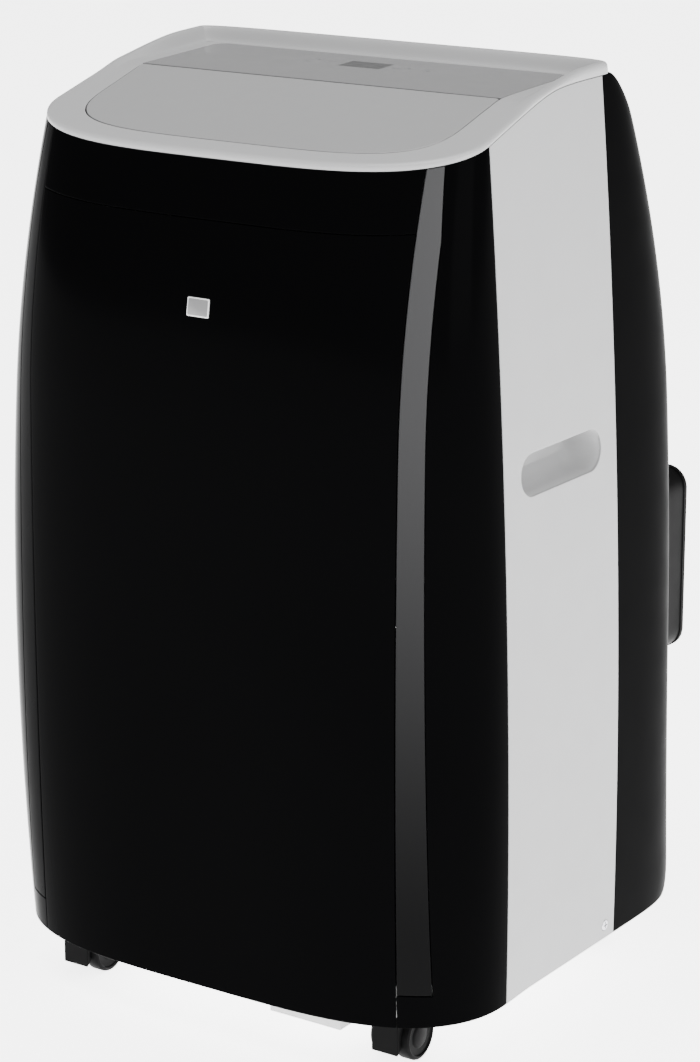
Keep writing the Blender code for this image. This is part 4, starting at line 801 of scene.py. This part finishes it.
def make_cover():
    """The top cover: parting edge, rim round sides and rear, sloping deck, and the opening's edge."""
    outline = cover_outline()
    loops = []
    for i in range(13):
        angle = math.pi / 2 * i / 12
        inset = CREST_INSET * (1.0 - math.cos(angle) ** (2.0 / RIM_POWER))
        climb = math.sin(angle) ** (2.0 / RIM_POWER)
        loops.append([(x, y, lerp(border_z(y) + GAP / 2, ridge_z(y), climb))
                      for x, y in inset_loop(outline, inset)])
    for i in range(1, 13):
        share = i / 12
        loop = inset_loop(outline, lerp(CREST_INSET, RIM_FOOT_INSET, share))
        loops.append([(x, y, lerp(ridge_z(y), cover_z(y), smooth(share))) for x, y in loop])
    foot = inset_loop(outline, RIM_FOOT_INSET)
    rim = opening_outline(-0.0007)
    for i in range(1, 9):
        share = i / 8
        loops.append([(lerp(a[0], b[0], share), lerp(a[1], b[1], share),
                       cover_z(lerp(a[1], b[1], share))) for a, b in zip(foot, rim)])
    for inset, drop in ((-0.0003, 0.0001), (-0.00008, 0.0003), (0.0, 0.0007), (0.0, 0.0030), (-0.0015, 0.0030)):
        loops.append([(x, y, cover_z(y) - drop) for x, y in opening_outline(inset)])
    loops.append([(x, y, cover_z(y) - 0.0026) for x, y in inset_loop(outline, RIM_FOOT_INSET)])
    loops.append([(x, y, border_z(y) + 0.0008) for x, y in inset_loop(outline, 0.0060)])
    loops.append([(x, y, border_z(y) + GAP / 2) for x, y in inset_loop(outline, 0.0022)])
    cover = loft("top_cover_skin", loops, TOP_WHITE_PAINTED_LIGHT, "root", ["top_cover"], ring=True,
                 angle=50.0)
    even_normals(cover)


def flap_axis():
    """Middle of the flap's hinge, from the record."""
    return Vector(next(j for j in frame["joints"] if j["name"] == "flap_hinge")["pos_m"])


def make_flap():
    """Flap with rounded edges, stiffening ribs below, and its hinge barrel with end pins."""
    pivot = flap_axis()
    inwards = Vector((0.0, FLAP_SLOPE, -1.0)).normalized()
    loops = []
    for inset, down in ((0.0009, 0.0), (0.0004, 0.00010), (0.0001, 0.0004), (0.0, 0.0009), (0.0, FLAP_THICK)):
        outline = opening_outline(FLAP_GAP + inset)[:FRONT_STEPS + 1]
        rear = FLAP_REAR_Y - FLAP_GAP - inset - 0.0002
        half = abs(outline[0][0])
        for i in range(9):
            angle = math.pi / 2 * i / 8
            outline.append((-half + FLAP_CORNER * (1.0 - math.cos(angle)),
                            rear - FLAP_CORNER * (1.0 - math.sin(angle))))
        outline += [(-x, y) for x, y in reversed(outline[FRONT_STEPS + 1:])]
        loops.append([tuple(Vector((x, y, flap_height(y))) + inwards * down) for x, y in outline])
    skin_item = loft("flap_skin", loops, FLAP_WHITE_PAINTED_SHADE, "flap", ["flap"], angle=50.0)
    even_normals(skin_item)
    low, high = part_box("flap")
    half = OPEN_HALF - FLAP_GAP
    centre = (0.0, pivot.y, pivot.z)
    barrel = ((0.0006, -half + 0.0010), (BARREL_R - 0.0006, -half + 0.0010), (BARREL_R, -half + 0.0016),
              (BARREL_R, half - 0.0016), (BARREL_R - 0.0006, half - 0.0010), (0.0006, half - 0.0010))
    turned("flap_barrel", barrel, centre, "X", FLAP_WHITE_PAINTED_SHADE, "flap", steps=48)
    pins = ((0.0004, low.x), (FLAP_PIN_R, low.x + 0.0004), (FLAP_PIN_R, high.x - 0.0004), (0.0004, high.x))
    turned("flap_pins", pins, centre, "X", STEEL, "flap", steps=24)
    bm = bmesh.new()
    for i in range(9):
        x = lerp(-0.142, 0.142, i / 8)
        prism_mesh(bm, [(y, flap_height(y) - drop) for y, drop in ((-0.152, 0.0029), (-0.070, 0.0029),
                                                                   (-0.070, 0.0062), (-0.146, 0.0052))],
                   x - 0.0006, x + 0.0006, "X")
    for y in (-0.1480, -0.1100, -0.0760):
        prism_mesh(bm, [(y - 0.0006, flap_height(y) - 0.0028), (y + 0.0006, flap_height(y) - 0.0028),
                        (y + 0.0006, flap_height(y) - 0.0050), (y - 0.0006, flap_height(y) - 0.0050)],
                   -0.145, 0.145, "X")
    finish_object("flap_ribs", bm, FLAP_WHITE_PAINTED_SHADE, "flap")


def make_fascia():
    """Control fascia with the display and the touch keys' printed marks."""
    gap = 0.0001
    loops = []
    for inset, drop in ((0.0004, 0.0), (0.0001, 0.0001), (0.0, 0.0003), (0.0, 0.0028)):
        outline = opening_outline(gap + inset)
        rear = outline[FRONT_STEPS + SIDE_STEPS:FRONT_STEPS + SIDE_STEPS + REAR_STEPS + 1]
        half = OPEN_HALF - gap - inset
        front = FLAP_REAR_Y + 0.0006 + inset
        shape = [(half, front), (-half, front)] + rear
        loops.append([(x, y, fascia_height(y) - drop) for x, y in shape])
    fascia = loft("fascia_skin", loops, FASCIA, "root", ["control_fascia"], angle=50.0)
    low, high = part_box("display_lens")
    shape = [(low.x - 0.0002, low.y - 0.0002), (high.x + 0.0002, low.y - 0.0002),
             (high.x + 0.0002, high.y + 0.0002), (low.x - 0.0002, high.y + 0.0002)]
    hole = cutter("display_hole", shape, low.z - 0.01, high.z + 0.01, "Z")
    carved(fascia, hole)
    applied(fascia)
    remove(hole)
    even_normals(fascia)
    middle = (low + high) / 2
    place_marks(middle.x, middle.y)


KEY_MARKS = (("ring", -0.0490, 0.0060), ("bar", -0.0540, -0.0040), ("dot", -0.0505, -0.0055),
             ("bar", -0.0370, 0.0020), ("dot", -0.0330, 0.0028), ("dot", -0.0272, 0.0060),
             ("bar", 0.0290, -0.0020), ("dot", 0.0335, -0.0012), ("ring", 0.0405, 0.0020), ("ring", 0.0590, 0.0000))


def place_marks(x0, y0):
    """Printed key marks: dots, bars and rings, a tenth of a millimetre thick."""
    bm = bmesh.new()
    thick = MARK_THICK
    for kind, dx, dy in KEY_MARKS:
        x, y = x0 + dx, y0 + dy
        z = fascia_height(y)
        if kind == "ring":
            outer, inner = circle((x, y), 0.0017, 28), circle((x, y), 0.0012, 28)
            rows = [[bm.verts.new((u, v, z + h)) for u, v in loop]
                    for loop, h in ((outer, -thick), (outer, thick), (inner, thick), (inner, -thick))]
            for a, b in zip(rows, rows[1:] + rows[:1]):
                for j in range(len(a)):
                    k = (j + 1) % len(a)
                    bm.faces.new((a[j], a[k], b[k], b[j]))
        else:
            half = (0.0006, 0.0006) if kind == "dot" else (0.0020, 0.0004)
            prism_mesh(bm, rounded_rectangle((x, y), half, 0.00035, 3), z - thick, z + thick, "Z")
    finish_object("key_marks", bm, INK, "root")


# --- Rear ------------------------------------------------------------------------------------
REAR_FINE = 112


def make_rear():
    foot = [BOTTOM_LEVEL + TUCK_HEIGHT * (1.0 - math.cos(math.pi / 2 * i / 8)) for i in range(8)]
    start = BOTTOM_LEVEL + TUCK_HEIGHT
    wall = foot + [lerp(start, TOP_FLAT_Z - SHOULDER_DROP, i / 56) for i in range(57)]
    top = [TOP_FLAT_Z - GAP / 2 - SHOULDER_DROP * (1.0 - math.sin(math.pi / 2 * i / 14)) for i in range(1, 15)]
    heights = wall + top
    grid = []
    for j in range(REAR_FINE + 1):
        angle = math.pi * j / REAR_FINE
        grid.append([(*rear_point(angle, z), z) for z in heights])
    holes = []
    for name in ("upper_grille", "lower_grille"):
        low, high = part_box(name)
        edge = GRILLE_GAP
        shape = rounded_rectangle(((low.x + high.x) / 2, (low.z + high.z) / 2),
                                  ((high.x - low.x) / 2 + edge, (high.z - low.z) / 2 + edge), 0.0030)
        holes.append(cutter(name + "_hole", shape, 0.06, 0.30, "Y"))
    holes.append(cutter("socket_hole", circle(socket_centre(), SOCKET_BORE_R, 72), 0.10, 0.30, "Y"))
    for name in ("drain_port", "cord_gland"):
        low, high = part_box(name)
        holes.append(cutter(name + "_hole", circle(((low.x + high.x) / 2, (low.z + high.z) / 2),
                                                   (high.x - low.x) / 2 + 0.0003, 32), 0.06, 0.30, "Y"))
    skin("rear_housing_skin", drawn_in(grid, GAP / 2), REAR_BLACK, ["rear_housing"],
         holes=holes)
    make_grille("upper_grille", 15, 5)
    make_grille("lower_grille", 11, 5)
    make_socket()


def socket_centre():
    low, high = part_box("exhaust_socket")
    return (low.x + high.x) / 2, (low.z + high.z) / 2


def sweep_bar(bm, points, width, depth):
    """Adds a bar with bevelled section along points; width along z, depth along y."""
    w, d, c = width / 2, depth / 2, min(width, depth) * 0.22
    section = ((-w, d - c), (-w + c, d), (w - c, d), (w, d - c),
               (w, -d + c), (w - c, -d), (-w + c, -d), (-w, -d + c))
    rows = [[bm.verts.new((x, y + v, z + u)) for u, v in section] for x, y, z in points]
    for a, b in zip(rows, rows[1:]):
        for j in range(len(a)):
            k = (j + 1) % len(a)
            bm.faces.new((a[j], a[k], b[k], b[j]))
    bm.faces.new(rows[0])
    bm.faces.new(rows[-1])


def sweep_post(bm, points, width, depth):
    w, d = width / 2, depth / 2
    section = ((-w, d), (w, d), (w, -d), (-w, -d))
    rows = [[bm.verts.new((x + u, y + v, z)) for u, v in section] for x, y, z in points]
    for a, b in zip(rows, rows[1:]):
        for j in range(4):
            k = (j + 1) % 4
            bm.faces.new((a[j], a[k], b[k], b[j]))
    bm.faces.new(rows[0])
    bm.faces.new(rows[-1])


def make_grille(name, slats, posts):
    """Intake grille: frame, slats and posts that follow the rear wall."""
    low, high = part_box(name)
    border, depth = GRILLE_BORDER, GRILLE_DEPTH
    bm = bmesh.new()

    def follow(x0, x1, z, back):
        return [(x, rear_surface_y(x, z) - back, z) for x in (lerp(x0, x1, i / 40) for i in range(41))]

    def climb(x, z0, z1, back):
        return [(x, rear_surface_y(x, z) - back, z) for z in (lerp(z0, z1, i / 24) for i in range(25))]
    for z in (low.z + border / 2, high.z - border / 2):
        sweep_bar(bm, follow(low.x, high.x, z, depth / 2), border, depth)
    for x in (low.x + border / 2, high.x - border / 2):
        sweep_post(bm, climb(x, low.z + 0.0004, high.z - 0.0004, depth / 2), border, depth)
    for i in range(slats):
        z = lerp(low.z + border, high.z - border, (i + 1) / (slats + 1))
        line = follow(low.x + border * 0.6, high.x - border * 0.6, z, depth * 0.60)
        sweep_bar(bm, line, 0.0042, 0.0024)
    for i in range(posts):
        x = lerp(low.x + border, high.x - border, (i + 1) / (posts + 1))
        line = climb(x, low.z + border * 0.6, high.z - border * 0.6, depth * 0.85)
        sweep_post(bm, line, 0.0026, 0.0016)
    grille = finish_object(name + "_skin", bm, SATIN_BLACK, name, [name], 30.0)
    even_normals(grille)


def rounded_square_loop(centre, half, radius, count):
    """Points of a rounded rectangle at even angles round its centre, to match a circle's points."""
    made = []
    for i in range(count):
        a = TAU * i / count
        c, s = math.cos(a), math.sin(a)
        reach = min(half[0] / max(1e-9, abs(c)), half[1] / max(1e-9, abs(s)))
        x, z = c * reach, s * reach
        ix, iz = half[0] - radius, half[1] - radius
        if abs(x) > ix and abs(z) > iz:
            kx, kz = math.copysign(ix, c), math.copysign(iz, s)
            b = c * kx + s * kz
            disc = b * b - (kx * kx + kz * kz - radius * radius)
            t = b + math.sqrt(max(0.0, disc))
            x, z = c * t, s * t
        made.append((centre[0] + x, centre[1] + z))
    return made


def make_socket():
    """Hose socket: square collar with a stepped flange, and a bore with a seat."""
    low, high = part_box("exhaust_socket")
    centre = socket_centre()
    half = ((high.x - low.x) / 2, (high.z - low.z) / 2)
    face, count, radius = high.y, 144, SOCKET_CORNER
    loops = []

    def square(shrink, y, soft=radius):
        size = (half[0] - shrink, half[1] - shrink)
        loops.append([(x, y, z) for x, z in rounded_square_loop(centre, size, soft, count)])

    base = rounded_square_loop(centre, (half[0] - 0.0008, half[1] - 0.0008), radius, count)
    loops.append([(x, rear_surface_y(x, z) - 0.0030, z) for x, z in base])
    square(0.0008, face - 0.0066)
    square(0.0008, face - 0.0062)
    square(0.0, face - 0.0058)
    square(0.0, face - 0.0022)
    for i in range(1, 7):
        angle = math.pi / 2 * i / 6
        square(0.0022 * (1 - math.cos(angle)), face - 0.0022 * (1 - math.sin(angle)))
    for r, y in ((SOCKET_BORE_R + 0.0014, face), (SOCKET_BORE_R + 0.0004, face - 0.0004),
                 (SOCKET_BORE_R, face - 0.0014), (SOCKET_BORE_R, face - 0.0180),
                 (SOCKET_BORE_R - 0.0012, face - 0.0190), (SOCKET_BORE_R - 0.0012, face - 0.0440)):
        loops.append([(centre[0] + r * math.cos(TAU * i / count), y, centre[1] + r * math.sin(TAU * i / count))
                      for i in range(count)])
    socket = loft("exhaust_socket_skin", loops, SATIN_BLACK, "root", ["exhaust_socket"],
                  ring=True, angle=35.0)
    even_normals(socket)


# --- Base ------------------------------------------------------------------------------------
CASTERS = ("front_right", "front_left", "rear_right", "rear_left")


def make_caster(name):
    """Hooded fork with a swivel collar, and twin wheels with tread, rim and hub cap."""
    low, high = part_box("caster_wheels_" + name)
    axle = (low + high) / 2
    radius = (high.z - low.z) / 2
    outer = (high.x - low.x) / 2
    fork_low, fork_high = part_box("caster_fork_" + name)
    swivel = Vector(next(j for j in frame["joints"] if j["name"] == "caster_swivel_" + name)["pos_m"])
    top, front = swivel.z - 0.0022, fork_low.y
    rear = axle.y + 0.012
    half = (fork_high.x - fork_low.x) / 2
    clear = radius + 0.0009
    profile = [(front, 0.0100), (front, top - 0.004), (front + 0.004, top), (rear, top), (rear, top - 0.0018)]
    for i in range(15):
        angle = math.radians(lerp(68.0, 196.0, i / 14))
        profile.append((axle.y + clear * math.cos(angle), axle.z + clear * math.sin(angle)))
    bm = bmesh.new()
    prism_mesh(bm, profile, axle.x - half, axle.x + half, "X")
    hood = finish_object("caster_hood_" + name, bm, CASTER_BLACK, "caster_fork_" + name,
                         ["caster_fork_" + name])
    rounded(hood, 0.0009, 3, 50.0)
    turned("caster_web_" + name, ((0.0004, -0.0042), (0.0140, -0.0042), (0.0160, -0.0036), (0.0160, 0.0036),
                                  (0.0140, 0.0042), (0.0004, 0.0042)),
           tuple(axle), "X", CASTER_BLACK, "caster_fork_" + name)
    turned("caster_stem_" + name, ((0.0004, 0.0190), (0.0045, 0.0190), (0.0048, 0.0180), (0.0048, -0.0040),
                                   (0.0004, -0.0040)),
           tuple(swivel), "Z", STEEL, "caster_fork_" + name, steps=32)
    for side in (-1, 1):
        inner = 0.0056
        profile = ((0.0026, inner), (radius - 0.0012, inner), (radius - 0.0003, inner + 0.0004),
                   (radius, inner + 0.0014),
                   (radius, outer - 0.0024), (radius - 0.0005, outer - 0.0010),
                   (radius - 0.0016, outer - 0.0003),
                   (radius * 0.86, outer), (radius * 0.82, outer - 0.0003), (radius * 0.80, outer - 0.0013),
                   (radius * 0.52, outer - 0.0016), (radius * 0.46, outer - 0.0006), (radius * 0.42, outer - 0.0002),
                   (0.0004, outer))
        side_name = "outer" if side > 0 else "inner"
        turned("caster_wheel_%s_%s" % (name, side_name), [(r, side * x) for r, x in profile], tuple(axle), "X",
               CASTER_BLACK, "caster_wheels_" + name,
               ["caster_wheels_" + name] if side > 0 else (), 72, 28.0)


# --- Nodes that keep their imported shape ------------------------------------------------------
CARRIED = {
    "display_lens": DISPLAY, "base_pan": PAN_GREY, "mid_deck": FOAM, "outlet_duct": DUCT, "vane_link": DUCT,
    "exhaust_duct": DUCT, "condenser_scroll": DUCT, "evaporator_scroll": DUCT, "condenser_wheel": DUCT,
    "evaporator_wheel": DUCT, "control_box": DUCT, "flap_motor": DUCT, "compressor": ENAMEL, "accumulator": ENAMEL,
    "condenser_coil": FINS, "evaporator_coil": FINS, "suction_pipe": COPPER, "discharge_pipe": COPPER,
    "condenser_motor": STEEL, "evaporator_motor": STEEL, "upper_filter": NET, "lower_filter": NET,
    "drain_port": SATIN_BLACK, "drain_plug": RUBBER, "cord_gland": RUBBER, "float": PAN_GREY,
    "vane_1": DUCT, "vane_2": DUCT, "vane_3": DUCT, "vane_4": DUCT, "vane_5": DUCT, "vane_6": DUCT,
}


def dress_nodes():
    for name, material in CARRIED.items():
        item = frame["nodes"][name]
        item.data.materials.clear()
        item.data.materials.append(material)
        item.data.shade_smooth()
        item.data.set_sharp_from_angle(angle=math.radians(32.0))


# --- Stage -----------------------------------------------------------------------------------
CAMERA_PLACE = (1.452, -2.1495, 1.116)
CAMERA_TILT, CAMERA_TURN = 16.07, 34.1
CAMERA_LENS = 110.6
FLOOR_GLOW = 4.5


def make_camera():
    data = bpy.data.cameras.new("camera")
    data.lens = CAMERA_LENS
    data.sensor_width = 36.0
    camera = bpy.data.objects.new("camera", data)
    camera.location = CAMERA_PLACE
    camera.rotation_euler = (math.radians(90.0 - CAMERA_TILT), 0.0, math.radians(CAMERA_TURN))
    bpy.context.scene.collection.objects.link(camera)
    bpy.context.scene.camera = camera


def make_floor():
    bm = bmesh.new()
    bmesh.ops.create_grid(bm, x_segments=8, y_segments=8, size=30.0)
    mesh = bpy.data.meshes.new("floor")
    bm.to_mesh(mesh)
    bm.free()
    floor = bpy.data.objects.new("floor", mesh)
    paper = plastic("floor_white", (0.90, 0.90, 0.90), 0.9, 40.0, 0.01, 0.005, specular=0.05)
    shader = paper.node_tree.nodes["Principled BSDF"]
    shader.inputs["Emission Color"].default_value = (1.0, 1.0, 1.0, 1.0)
    shader.inputs["Emission Strength"].default_value = FLOOR_GLOW
    mesh.materials.append(paper)
    bpy.context.scene.collection.objects.link(floor)


def area_light(name, place, target, size, power):
    data = bpy.data.lights.new(name, "AREA")
    data.shape = "RECTANGLE"
    data.size, data.size_y = size
    data.energy = power
    light = bpy.data.objects.new(name, data)
    light.location = place
    light.rotation_euler = (Vector(target) - Vector(place)).to_track_quat("-Z", "Y").to_euler()
    bpy.context.scene.collection.objects.link(light)


def make_lights():
    world = bpy.data.worlds.new("studio")
    world.use_nodes = True
    world.node_tree.nodes["Background"].inputs["Color"].default_value = (1.0, 1.0, 1.0, 1.0)
    world.node_tree.nodes["Background"].inputs["Strength"].default_value = 0.6
    bpy.context.scene.world = world
    area_light("key_light", (2.6, -0.6, 1.5), (0.2, 0.0, 0.4), (1.6, 2.0), 60.0)
    area_light("top_light", (0.0, -0.5, 3.2), (0.0, 0.0, 0.5), (2.0, 2.0), 95.0)
    area_light("rim_light", (1.9, 2.2, 1.4), (0.1, 0.1, 0.4), (1.0, 1.8), 1.0)


make_camera()
make_floor()
make_lights()
make_front()
make_side("right", 1)
make_side("left", -1)
make_cover()
make_flap()
make_fascia()
make_rear()
for caster in CASTERS:
    make_caster(caster)
dress_nodes()
